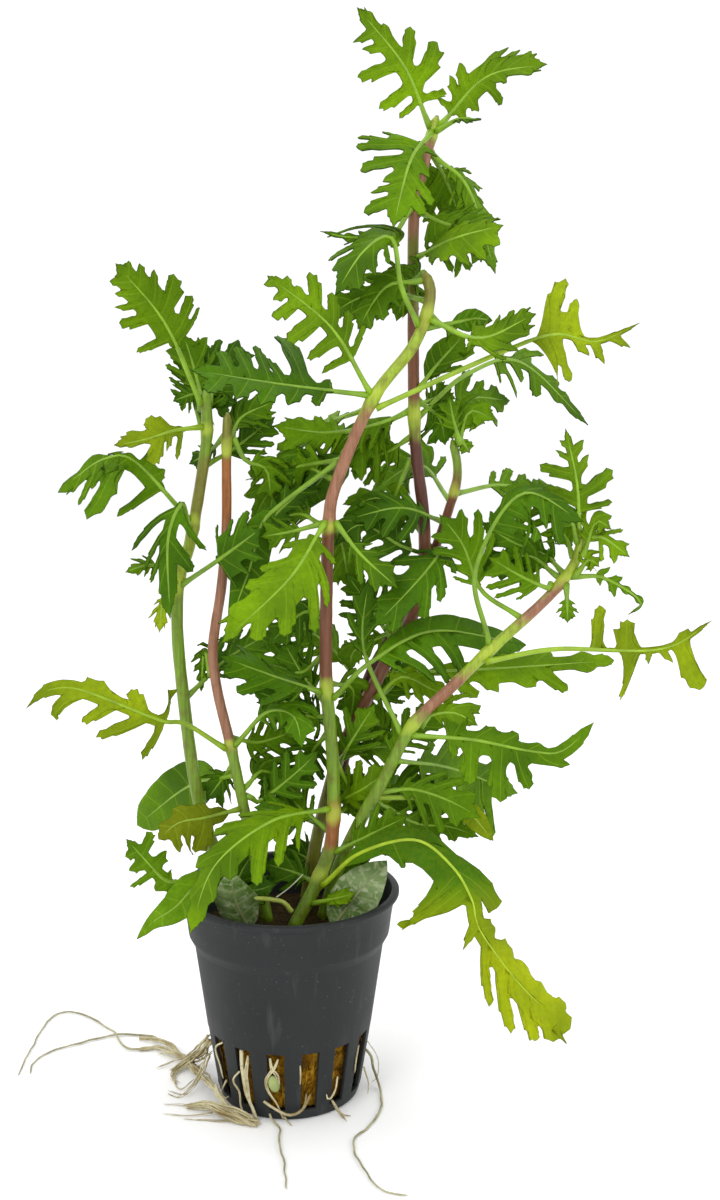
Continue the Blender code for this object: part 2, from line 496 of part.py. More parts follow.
def inner_radius(height):
    """The radius of the pot's inside at a height."""
    if height < SLOT_TOP:
        share = (height - SLOT_FOOT) / (SLOT_TOP - SLOT_FOOT)
        return SLOT_FOOT_RADIUS + (SLOT_TOP_RADIUS - SLOT_FOOT_RADIUS) * share - POT_WALL
    share = min((height - SLOT_TOP) / (WALL_TOP - SLOT_TOP), 1.0)
    return SLOT_TOP_RADIUS + (WALL_RADIUS - SLOT_TOP_RADIUS) * share - POT_WALL


def make_wool():
    heights = (WOOL_FOOT + 0.6, 9.0, SLOT_TOP, 28.0, WOOL_TOP - 1.0)
    profile = [(0.0, WOOL_FOOT), (inner_radius(WOOL_FOOT) - WOOL_GAP - 0.8, WOOL_FOOT)]
    profile += [(inner_radius(height) - WOOL_GAP, height) for height in heights]
    profile += [(inner_radius(WOOL_TOP) - WOOL_GAP - 1.5, WOOL_TOP), (0.0, WOOL_TOP)]
    add_object("rock_wool", mesh_from("rock_wool", spun(profile, WOOL_SIDES)), "wool_ochre")


def main():
    clear_scene()
    make_pot()
    make_wool()
    make_stems()
    make_roots()
    make_leaves()


main()
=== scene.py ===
import math
import random
from bisect import bisect_right
from collections import namedtuple

import bmesh
import bpy
from mathutils import Matrix, Vector, noise


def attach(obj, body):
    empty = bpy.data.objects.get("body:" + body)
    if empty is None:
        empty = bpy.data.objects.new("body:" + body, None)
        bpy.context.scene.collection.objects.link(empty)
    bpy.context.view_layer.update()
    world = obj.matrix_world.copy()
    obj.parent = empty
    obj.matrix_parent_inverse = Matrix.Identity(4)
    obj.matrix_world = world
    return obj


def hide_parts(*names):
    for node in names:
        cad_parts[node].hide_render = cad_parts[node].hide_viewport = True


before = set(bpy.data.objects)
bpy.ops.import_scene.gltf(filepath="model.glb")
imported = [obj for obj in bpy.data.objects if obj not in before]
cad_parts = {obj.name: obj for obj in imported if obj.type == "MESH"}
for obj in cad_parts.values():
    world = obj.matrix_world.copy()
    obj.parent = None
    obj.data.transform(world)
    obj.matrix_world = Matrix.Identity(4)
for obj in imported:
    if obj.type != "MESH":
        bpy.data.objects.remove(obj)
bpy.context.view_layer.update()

bl_info = {
    "name": "Water wisteria in a net pot",
    "version": (1, 0, 0),
    "blender": (4, 5, 0),
    "location": "3D View > Sidebar > Wisteria",
    "description": "Dresses the water wisteria, its net pot, mineral wool and roots, and sets up its studio",
    "category": "Object",
}

# Lengths in the tables are in millimetres. The pot stands on z = 0 and the viewer's side is -y
MM = 0.001
SEED = 41

# The pot, from its foot to its lip
POT_HEIGHT = 50.0
LIP_RADIUS = 26.0
LIP_DEPTH = 1.4
COLLAR_RADIUS = 25.0
STEP_HEIGHT = 39.8
STEP_RADIUS = 23.7
WALL_TOP = 37.6
WALL_RADIUS = 22.4
SLOT_TOP = 17.3
SLOT_TOP_RADIUS = 19.6
SLOT_FOOT = 2.6
SLOT_FOOT_RADIUS = 17.3
FOOT_RADIUS = 16.8
SLOTS = 15
SEGMENTS_PER_SLOT = 12
FIRST_SLOT = math.radians(-105.7)
# Heights of the rings that the wall and the collar are built of, and the floor's two sides
WALL_RINGS = (SLOT_FOOT, 7.5, 12.4, SLOT_TOP, 24.0, 31.0)
COLLAR_RING = 44.0
FLOOR_UNDERSIDE = 0.15
FLOOR_TOP = 1.4

# The wool's plug: its top, how far it stays in from the pot's outside, and where its loose fibres are
WOOL_TOP = 41.0
WOOL_INSET = 1.6
FIBRE_HEIGHTS = (3.0, 18.0)

# Stems: how much a joint swells, and how far up and down that reaches
NODE_SWELL = 1.22
NODE_REACH = 2.5
LEAF_TO_STEM_GAP = 0.75

# Blades: how far out from the rib each of the lengthwise lines lies, as a share of its half
COLUMN_SHARES = (0.0, 0.07, 0.3, 0.54, 0.78, 1.0)
# Half the blade's width where the bare stalk ends, half its undivided width at the least, and half a lobe's
FOOT_HALF_WIDTH = 0.3
NARROWEST_WEB = 0.35
NARROWEST_LOBE = 0.3
HEM_WIDTH = 0.18
# What a blade's mesh holds as the distance to the nearest vein where none is near
FAR_FROM_VEIN = 3.0

# How far a stalk goes into its stem, and how far the rib's middle lies under the blade's upper side
STALK_ROOT = 1.6
RIB_SINK = 0.12


def tint(*shade):
    """A shader's colour from one given as it looks: its red, green and blue in steps of 255."""
    return tuple(c / 255 / 12.92 if c <= 10 else ((c / 255 + 0.055) / 1.055) ** 2.4 for c in shade)


# radii: at the foot and at the tip. nodes: heights of the swollen joints
# bands: the bark's colour from a height upwards
Stem = namedtuple("Stem", "slot radii nodes route bands")
GREEN, LIME, OLIVE = (112, 148, 24), (150, 178, 40), (118, 122, 30)
PINK, BROWN, RUST, DARK = (156, 110, 84), (120, 72, 44), (150, 92, 34), (84, 42, 28)
STEMS = {
    "left": Stem("stem_green", (1.6, 1.25), (123, 135, 157), [
        (-10, 4, 42.6), (-15, 3.5, 52), (-19.5, 1.5, 64), (-22, 0.5, 76), (-24, 1, 92),
        (-25.5, 1, 110), (-25, 1, 123), (-22.5, 1, 131), (-20, 1, 144), (-18.3, 1, 156), (-18.5, 0, 166)],
        ((42, GREEN), (120, LIME), (133, OLIVE), (150, GREEN))),
    "middle": Stem("stem_pink", (1.3, 1.05), (84, 154), [
        (-5, -3, 42.6), (-6.5, -2, 50), (-10, -1, 67), (-13.4, -1, 84), (-16.5, -1, 98),
        (-17.3, -1, 108), (-15.2, -1, 122), (-14, -1, 136), (-13.9, 0, 150), (-13.6, 0, 161)],
        ((42, GREEN), (83, PINK), (135, RUST), (152, OLIVE))),
    "front": Stem("stem_pink", (1.6, 1.25), (54, 68, 99, 136, 164, 182), [
        (1, -7, 42.6), (7, -5, 54), (10, -4, 64), (10.2, -3, 80), (8.6, -5, 99), (8.4, -6, 112),
        (9, -6, 136), (10.8, -7, 146), (18.5, -8, 164), (27.5, -9, 176), (30.8, -9, 186), (29.5, -8, 191.5)],
        ((42, GREEN), (60, RUST), (70, GREEN), (100, BROWN), (137, PINK), (160, LIME), (180, OLIVE))),
    "tall": Stem("stem_pink", (1.6, 1.2), (160, 222), [
        (4, 9, 42.6), (7, 9, 60), (12.5, 7, 81), (22, 5, 101), (30, 4, 117), (31.4, 3, 134),
        (29, 3, 155), (28.2, 2, 180), (28.1, 2, 205), (30, 2, 215), (33, 2, 226)],
        ((42, OLIVE), (80, BROWN), (134, DARK), (156, LIME), (163, BROWN), (184, OLIVE), (200, PINK),
         (219, LIME))),
    "back": Stem("stem_dark", (1.4, 1.0), (143,), [
        (10, 12, 42.6), (12, 12, 70), (18, 11, 95), (24, 9.5, 108), (29, 8.5, 118), (34, 6, 129),
        (38.2, 3.5, 143), (38.8, 3, 149), (37.5, 3, 155)],
        ((42, OLIVE), (70, DARK), (130, BROWN), (146, GREEN))),
    "right": Stem("stem_green", (1.55, 1.1), (91, 108, 124), [
        (8, -1, 42.6), (12, -1, 56), (17, -4, 68), (21.8, -6.5, 78), (28, -9, 91), (36.5, -9, 99.5),
        (44.5, -9, 107.5), (56, -9, 118), (61.5, -9, 124), (64.5, -9, 129), (66, -9, 136)],
        ((42, GREEN), (93, PINK), (103, LIME), (116, PINK), (123, LIME))),
}

# The radii of the solids' stems, at the foot and at the tip. The leaves' ribs start from their skin
CAD_STEM_RADII = {"left": (1.6, 1.3), "middle": (1.6, 1.3), "front": (1.9, 1.4), "tall": (1.8, 1.4),
                  "back": (1.6, 1.1), "right": (1.8, 1.2)}

# stem, height: where the stalk leaves its stem. route: the rib's further points, out to the leaf's tip
# web: half the undivided blade's width, at its widest or at even steps from the stalk to the tip
# left, right: each lobe, from the stalk to the tip, as how far its tip is along the rib and out from it, its
# share of the usual width and where it starts on the rib; or one number, for lobes at an even pitch that
# stand out of the web that far; or nothing, for a smooth side. SAME: the right half is like the left
# sweep: the lobes' angle to the rib, or the left half's and the right half's. stalk: the rib's bare share
# tone: the leaf's finish; the dark one is the full green darkened, painted shade for leaves in the plant's
# shade. face: the way the blade looks. fold: how far both halves rise towards the face, in degrees. curl: how
# that grows outwards, per mm
SAME = None
Leaf = namedtuple("Leaf", "stem height route web left right sweep stalk tone face fold curl",
                  defaults=("mid", (0, -1, 0.3), 0, -1))
LEAVES = {
    "leaf_top_left": Leaf("tall", 224, [(25, -4, 235), (14.5, -12, 244.5)], 2.4, ((3, 5.5, 0.9, 4),
        (7, 9, 1, 8), (19, 9.5, 1, 13.5), (22.5, 5, 0.8, 18), (25, 5.5, 0.5, 22.5)), ((3.5, 6, 1.2, 4),
        (12, 9, 1.5, 8), (17.5, 6, 1.1, 12), (22.5, 2, 1, 19), (26.5, 1.5, 0.9, 24)), (85, 45), 0.12,
        tone="bright", face=(0.1, -1, -0.1), fold=6),
    "leaf_top_right": Leaf("tall", 225, [(43, -4, 233), (54.5, -12, 234)], 3.2, ((2.5, 5, 1.3, 2.5),
        (7.5, 5.5, 1.2, 5), (10, 6, 1.2, 8), (17.5, 5.5, 1.3, 10.5), (20, 4.5, 0.8, 14),
        (23, 3.5, 0.8, 17.5)), ((3, 3.5, 1, 4), (6.5, 4.5, 1, 7.5), (17.5, 8, 1.4, 11), (18, 3, 0.8, 14.5),
        (24, 2, 1, 19.5)), (45, 65), 0.06, tone="bright", face=(0.1, -1, 0.3), fold=6),
    "leaf_top_front": Leaf("tall", 221, [(26, -10, 214), (22, -17, 199.5)], 3, ((6.5, 4.5), (15, 5),
        (22.5, 7), (25, 6)), ((6, 9), (10, 13), (12, 12.5), (17, 10), (19.5, 4.5), (22.5, 6.5), (27, 7)),
        (60, 85), 0.15, face=(-0.1, -1, 0.2), fold=-8, curl=0),
    "leaf_top_droop": Leaf("tall", 217, [(40, 0, 210), (46.5, 1, 192)], 3.2, ((5.5, 2), (7.5, 5.5), (11, 5.5),
        (19.5, 5.5), (24.5, 2.5)), ((6, 4), (12, 6), (18, 7), (26, 5), (27.5, 9.5)), 40, 0.12,
        face=(0.4, -0.8, 0.4), fold=-14),
    "leaf_high_right": Leaf("tall", 195, [(36, -9, 198.5), (46, -12, 201)], 4.6, ((5, 5), (9.5, 7.5),
        (15.5, 4), (19.5, 3)), ((5, 4), (10, 5), (14, 7), (17.5, 6.5), (21, 4)), (40, 75), 0.1, tone="bright",
        face=(-0.1, -0.9, 0.5), fold=-8, curl=-2),
    "leaf_shoulder_left": Leaf("front", 180, [(24, -14, 188), (22, -13, 198), (16, -13, 195), (10, -13, 186)],
        3.6, ((19, 5), (24, 7), (29, 6), (33.5, 4.5)), ((21.5, 8.5), (27, 9), (27, 20.5, 0.4), (31, 9.5),
        (32.5, 6)), 60, 0.45, face=(-0.2, -0.6, 0.7), fold=-12),
    "leaf_neck_left": Leaf("front", 190, [(21, -8, 188), (15, -10, 179)], 3.6, ((3.5, 8.5), (8.5, 6), (14, 4),
        (17, 2.5)), ((5, 6), (8, 5), (12, 3), (16.5, 3.5)), (60, 50), 0.1, face=(-0.2, -1, 0.3), curl=-2),
    "leaf_feather": Leaf("front", 165, [(9, -17, 179), (-4, -28, 188.5)], 1.9, ((10, 7.5), (18, 9), (26, 9),
        (32, 6.5), (33, 3.5), (36.5, 2)), ((12, 6.5), (16.5, 5.5), (21.5, 5.5), (28, 6), (29.5, 2),
        (32.5, 2.5)), (85, 60), 0.2, tone="bright", face=(0.1, -1, 0.2), fold=8),
    "leaf_long_left": Leaf("front", 163, [(-1, -15, 167), (-20.5, -18, 170)], 3.2, ((12, 5, 1, 9),
        (18, 6, 1, 15), (23.5, 7, 1.2, 20.5), (28.5, 6.5, 1.2, 26), (34.5, 6, 1.2, 31.5)), ((7, 3.5, 1.2, 6),
        (16.5, 20.5, 1.5, 13.5), (22, 8, 0.6, 18.5), (24.5, 11.5, 1.1, 21.5), (29, 9.5, 1.2, 25.5),
        (32.5, 7.5, 1, 29.5)), (60, 65), 0.18, tone="dark", face=(0, -0.7, 0.7), fold=4),
    "leaf_crown_left": Leaf("left", 164, [(-26.5, -8, 180), (-35.5, -18, 191.5)], 4, ((16, 8.5, 0.7, 15),
        (26.5, 8, 1, 21), (30, 6.5, 0.8, 25), (32, 4.5, 0.8, 27.5), (34.5, 3.5, 0.8, 31)),
        ((17, 8.5, 1, 12.5), (19.5, 8.5, 1, 15), (25, 8, 1.3, 20.5), (28.5, 5.5, 0.9, 23.5),
        (32, 4, 0.8, 28.5), (34.5, 2.5, 0.8, 32)), (75, 50), 0.34, tone="bright", face=(0.1, -1, 0.2),
        fold=6),
    "leaf_right_upper": Leaf("front", 181, [(41, -16, 177), (52, -20, 182)], 4, ((6.5, 6), (12, 6), (17, 5),
        (20.5, 3.5), (22.5, 2.5)), ((10, 4), (15.5, 6.5), (18, 6), (21.5, 4)), 50, 0.36, tone="bright",
        face=(0.1, -0.8, 0.6), curl=-2),
    "leaf_long_right": Leaf("front", 164, [(45.5, -12, 174), (57, -15, 178), (66, -16, 176.5),
        (75, -17, 180.5)], 0.9, ((41.5, 13, 0.75, 40), (43, 8.5, 0.6, 42)), ((42.5, 12, 0.8, 38),
        (46, 9.5, 0.9, 39.5), (48, 3, 0.8, 45), (50, 5, 0.5, 49), (55, 4, 0.5, 52.5)), (80, 75), 0.5,
        tone="yellow"),
    "leaf_right_low": Leaf("tall", 160, [(41.5, 10, 170), (56, 20, 173), (75, 30, 158)], 1.8, ((30, 5),
        (37.5, 5), (41.5, 9), (47, 4), (51, 2.5)), ((21.5, 6), (26.5, 10), (34, 5), (42, 5), (48.5, 2)),
        (55, 60), 0.4, face=(0, -0.8, 0.6), fold=-10),
    "leaf_back_top": Leaf("back", 154, [(42.5, 14, 164), (54.5, 26, 164)], 2, ((12, 6), (18.5, 7), (22, 4.5),
        (27, 3.5)), ((12, 5), (19.5, 5.5), (24.5, 7), (28, 3)), (55, 60), 0.2, face=(0.1, -1, 0.3), fold=4),
    "leaf_back_right": Leaf("back", 143, [(50.5, 14, 144), (66.5, 24, 141.5)], 1.6, (4, 5, 4, 3), SAME, 60,
        0.3, face=(0, -0.8, 0.7)),
    "leaf_left_small": Leaf("left", 157, [(-25, -6, 157), (-31.5, -9, 155), (-37.5, -12, 154)], 2,
        ((9.5, 6.5, 1, 4), (11, 4, 0.7, 8.5), (14.5, 6, 1.6, 10.5), (18.5, 1, 1, 16)), ((12.5, 4.5, 1.4, 8.5),
        (18, 2.5, 1, 14.5)), (75, 55), 0.2, tone="yellow"),
    "leaf_far_left": Leaf("left", 137, [(-33.5, -9, 150.5), (-39.5, -14, 151), (-44.5, -20, 147.5),
        (-48, -22, 144.5)], (0.6, 2.4, 3.8, 4.2, 3.6, 2.4, 0.8), ((12, 11.5, 1.1, 9.5), (40.5, 8.5, 1.8, 20),
        (35, 4, 1, 25.5), (39.5, 5, 0.8, 29), (38.5, 2, 0.8, 34)), ((11.5, 3.5, 1, 13), (16.5, 4.5, 1.2, 16),
        (21, 1, 1.4, 19.5), (26, 1, 1.4, 27.5)), 60, 0.2, face=(0, -0.9, 0.4), fold=-8, curl=0),
    "leaf_left_hanging": Leaf("left", 134, [(-23.5, -7, 141), (-26.5, -9, 133), (-26, -12, 116)], 2.2,
        ((19, 9.5, 0.8, 9), (24.5, 6, 0.8, 17)), ((19.5, 9.5, 0.7, 10.5), (23.5, 6, 0.7, 14),
        (26.5, 4.5, 0.7, 17.5), (29, 2.5, 0.8, 22)), (35, 40), 0.2, tone="dark", fold=-20),
    "leaf_left_folded": Leaf("left", 123, [(-15, -8, 129), (-6, -12, 136)], 3.8, ((14, 8.5), (19, 7),
        (23, 6.5)), ((11, 7.5), (16, 7), (21, 6), (22, 3)), (60, 75), 0.45, tone="dark",
        face=(-0.3, -0.9, 0.2), fold=-15, curl=-2),
    "leaf_bright_front": Leaf("front", 136, [(0, -18, 125.5), (-14, -28, 113.5)], 6, ((8, 7), (16.5, 10.5),
        (22, 12.5), (27, 8.5), (32, 5), (35, 1)), ((8, 6), (17.5, 7), (24, 6), (30.5, 4.5)), (55, 45), 0.08,
        tone="bright", face=(-0.1, -0.8, 0.6), fold=4, curl=-2),
    "leaf_tall_left": Leaf("tall", 159, [(20, 5, 157), (11, 5, 148)], 3.8, (4, 6, 7, 4), (), (60, 50), 0.15,
        face=(0, -0.7, 0.7), fold=-14),
    "leaf_back_left": Leaf("front", 161, [(8, 10, 158), (-3, 25, 150.5)], 3, (5, 7, 8, 5), (3, 4, 3, 2),
        (60, 55), 0.2, tone="bright", face=(0, -0.8, 0.6), fold=-10),
    "leaf_back_centre": Leaf("back", 141, [(31.5, 20, 148.5), (20.5, 32, 141)], 2.5, (5, 6, 7, 4),
        (5, 6, 6, 3), 60, 0.25, face=(0, -0.9, 0.4)),
    "leaf_back_cross": Leaf("back", 136, [(25, -5, 140), (13, -1, 137)], 2.2, (5, 7, 5, 3), (2, 3, 4, 2),
        (65, 50), 0.15, tone="dark", face=(0, -0.9, 0.5)),
    "leaf_big_dark": Leaf("back", 130, [(35, -1, 130), (29, -8, 124), (19, -11, 114)], 4.2, ((10, 6), (17, 7),
        (22, 7), (29, 4)), ((9, 6), (15, 8), (21.5, 6), (26, 4)), (50, 60), 0.12, tone="dark",
        face=(-0.2, -0.9, 0.5), curl=-2),
    "leaf_right_rising": Leaf("right", 89, [(17, -6, 108), (18, -5, 124)], 1.8, (3, 4, 3), SAME, 45, 0.5,
        tone="dark", face=(0.2, -1, 0), fold=12, curl=0),
    "leaf_front_left": Leaf("front", 99, [(-3, -12, 103), (-15, -14, 108)], 5, ((8.5, 6), (14, 9), (19, 7),
        (23, 4)), ((6, 8), (14, 9), (21, 9), (25, 12)), 55, 0.12, tone="dark", face=(0, -0.5, 0.9), fold=-6,
        curl=-2),
    "leaf_front_arch": Leaf("front", 97, [(18, -12, 106), (33, -5, 112), (56, 4, 107)],
        (1, 2.8, 4, 4.4, 4.2, 3.2, 0.8), (), ((18, 7), (25, 12), (33, 13), (39, 10), (48, 4)), (30, 65), 0.25,
        tone="dark", face=(0, -0.8, 0.6), fold=-6),
    "leaf_right_arch": Leaf("right", 109, [(41, -14, 127), (50, -18, 144), (64, -18, 138)], 3.2, ((30, 3.5),
        (36, 3.5), (42, 3), (48, 3)), ((29, 8, 1, 25), (34, 10, 1, 29), (38.5, 12, 1, 33), (43, 15.5, 1, 37),
        (46.5, 6), (50.5, 7.5)), (45, 75), 0.5, tone="dark", face=(-0.2, -0.7, 0.7), fold=-14, curl=0),
    "leaf_right_inside": Leaf("right", 124, [(54, -4, 129), (44, 2, 125)], 2.4, ((5, 6), (10, 8), (16, 4)),
        ((5, 4), (11, 6.5), (14, 6), (17.5, 3.5)), 60, 0.12, tone="dark", face=(0, -0.9, 0.4)),
    "leaf_tip_feather": Leaf("right", 135, [(63, -14, 146), (59, -20, 158)], 1.2, ((12.5, 8, 1.2, 6),
        (19.5, 7.5, 1, 13.5), (21.5, 3.5, 0.8, 17), (23, 2, 0.7, 20)), ((5, 8, 0.9, 4.5), (11, 9, 1.1, 8),
        (16.5, 4, 0.9, 13), (20.5, 3.5, 0.7, 18.5)), (60, 55), 0.12, tone="bright", face=(0.1, -1, 0.1)),
    "leaf_low_ladder": Leaf("right", 107, [(59, -16, 109.7), (80, -24, 111), (90, -28, 118)], 0.8,
        ((23.5, 10, 1.35, 23), (30, 7, 1.2, 30), (45, 1.6, 0.8, 42)), ((29, 11, 0.3, 32.5),
        (34.5, 3, 0.6, 35), (39, 3.5, 0.7, 37.5), (41, 11, 1, 41)), (75, 80), 0.42, tone="yellow", curl=0),
    "leaf_right_under": Leaf("tall", 100, [(50, 11, 100), (80.5, 18, 100.5)], (1, 3, 3.8, 3.8, 3.6, 3.2, 0.8),
        ((30, 4.2), (42, 4.4), (52, 2.5)), ((20.5, 7), (26, 6), (36, 5), (43.5, 7), (52, 2)), (45, 55), 0.15,
        tone="bright", face=(0, -0.8, 0.6), curl=-2),
    "leaf_left_feather": Leaf("middle", 85, [(-23.5, -6, 91), (-28.5, -10, 92.7), (-39.5, -18, 99.5),
        (-46, -22, 102.8), (-51.5, -24, 102.5), (-55.5, -25, 99)], 1.8, ((18.5, 9.5, 1, 14.5),
        (31, 8.5, 1, 20.5), (35.5, 6.5, 0.7, 31), (49.5, 6.5, 1, 37)), ((12.5, 7.5, 1.1, 16.5),
        (27.5, 4, 1.2, 22), (38.5, 3, 1.4, 31)), (62, 75), 0.3, tone="yellow"),
    "leaf_middle_right": Leaf("middle", 85, [(-5, -8, 94), (1, -12, 94), (3, -14, 87)], 2, (4, 5, 5, 3),
        (3, 4, 4, 2), 60, 0.3, tone="dark", face=(0, -0.8, 0.6), fold=-10),
    "leaf_right_spray": Leaf("right", 90, [(41, -15, 89), (54, -18, 87), (60.5, -19, 87.4), (67, -20, 94)],
        (1, 3, 3.2, 2.4, 1.2, 0.6), ((4, 7, 1, 1.5), (10, 6.5, 1, 6.5), (17, 4, 1, 13), (22.5, 3.5, 1, 19),
        (28, 2, 1, 25)), ((8.5, 5, 1.2, 5), (13.5, 10, 1.3, 12.5), (21.5, 12.5, 1.4, 19.5),
        (26.5, 8.5, 1.3, 22.5), (33, 3.5, 0.7, 27)), (40, 75), 0.15, face=(0, -0.9, 0.4), fold=-8),
    "leaf_right_shade": Leaf("right", 82, [(39.5, 8, 76), (58, 22, 65.5)], 4, (5, 6, 5, 3), ((9, 6),
        (16.5, 8), (29, 9), (36, 8), (41.5, 13.5)), (50, 75), 0.15, face=(0, -0.9, 0.4), fold=-6),
    "leaf_low_right": Leaf("front", 68, [(19.5, 12, 68), (33.5, 26, 67.5)], 2.2, (5, 6, 5, 3), SAME, 55, 0.2,
        tone="dark", face=(0, -0.8, 0.6)),
    "leaf_long_hanging": Leaf("front", 54, [(16, -12, 62), (28, -18, 67), (36, -22, 62), (40, -25, 55.5),
        (42, -26, 48.5), (51.5, -28, 36), (62, -28, 26.5)], (0.8, 3.6, 5.2, 5.6, 2, 1.8, 3.6, 4.2, 3.2),
        ((49, 6, 1.5, 38), (54, 3.8, 1.3, 52), (60.5, 4.4, 1.5, 58), (66.5, 4.6, 1.4, 64), (73, 4.2, 1.2, 70),
        (79, 4.4, 1, 76)), ((24, 6.5, 0.6, 21), (43, 13.5, 1.1, 38.5), (46.5, 17.5, 1.6, 42),
        (53.5, 5.5, 0.5, 51.5), (65.5, 8.5, 1, 54), (72, 9, 1, 60.5), (77, 7, 1.1, 66.5), (81, 4.5, 1.3, 74)),
        (35, 60), 0.07, tone="turning", face=(0.2, -0.8, 0.6), fold=-6),
    "leaf_rim_front": Leaf("front", 69, [(-4, -16, 71), (-16, -28, 65), (-21, -33, 52)], 5.6, ((15.5, 9.5),
        (24, 10), (32.5, 10), (35.5, 4.5), (42, 3)), ((12, 7), (20, 7), (28, 6.5), (36.5, 4), (43, 2.5)),
        (45, 40), 0.12, tone="bright", face=(-0.2, -0.7, 0.7), fold=-4, curl=-2),
    "leaf_left_ovate": Leaf("middle", 77, [(-24.5, 12, 71), (-38.5, 26, 57)],
        (1, 4.8, 6.2, 6.2, 5.6, 4.2, 2.2), (), SAME, 40, 0.1, face=(-0.1, -1, 0.35), curl=-2),
    "leaf_left_olive": Leaf("middle", 69, [(-19, -8, 69.5), (-25, -10, 69), (-29.5, -11, 65.5)],
        (1, 3, 3.6, 3.2, 2.2, 0.8), ((12, 7.5, 1.4, 9), (16.5, 8, 1.2, 12.5), (19.5, 5.5, 1, 16)),
        ((10, 3.8, 1, 8), (15, 3.8, 1, 13), (19, 2.5, 1, 17)), (55, 50), 0.1, tone="olive",
        face=(0, -0.9, 0.5), fold=-6, curl=-2),
    "leaf_left_curled": Leaf("left", 56, [(-22, -2, 53.5), (-28, -4, 53), (-33, -3, 57.5), (-38, -1, 62.5)],
        1.8, ((13, 3.5, 1.2, 12), (17, 7, 0.5, 16), (20, 4.5, 1.4, 18.5), (23, 3, 1, 22)),
        ((12.5, 3, 0.7, 11.5), (17.5, 5, 1, 17), (23, 5.5, 0.9, 20.5)), (70, 50), 0.35, fold=-8),
    "leaf_rim_left": Leaf("left", 50, [(-19.5, -10, 55.5), (-25.5, -16.5, 51.5), (-30, -18, 49),
        (-34, -18, 44.8)], (0.6, 3, 4.2, 4.2, 3, 1.4, 0.4), (), SAME, 40, 0.22, face=(-0.2, -0.8, 0.5),
        fold=-6),
    "leaf_old_left": Leaf(None, 0, [(-9, -9, 42.8), (-12, -11, 50), (-13.5, -13, 58.5)],
        (1.5, 3.6, 5, 5.2, 4.2, 2.5, 0.4), (), SAME, 40, 0.04, tone="old", face=(-0.2, -1, 0.2), curl=-2),
    "leaf_old_right": Leaf(None, 0, [(9.5, -10, 42.8), (15.5, -10, 51.5), (22.5, -8.5, 59)],
        (1.5, 4, 5.3, 5.5, 4.6, 2.9, 0.4), (), SAME, 40, 0.04, tone="old", face=(-0.3, -1, 0.3)),
}

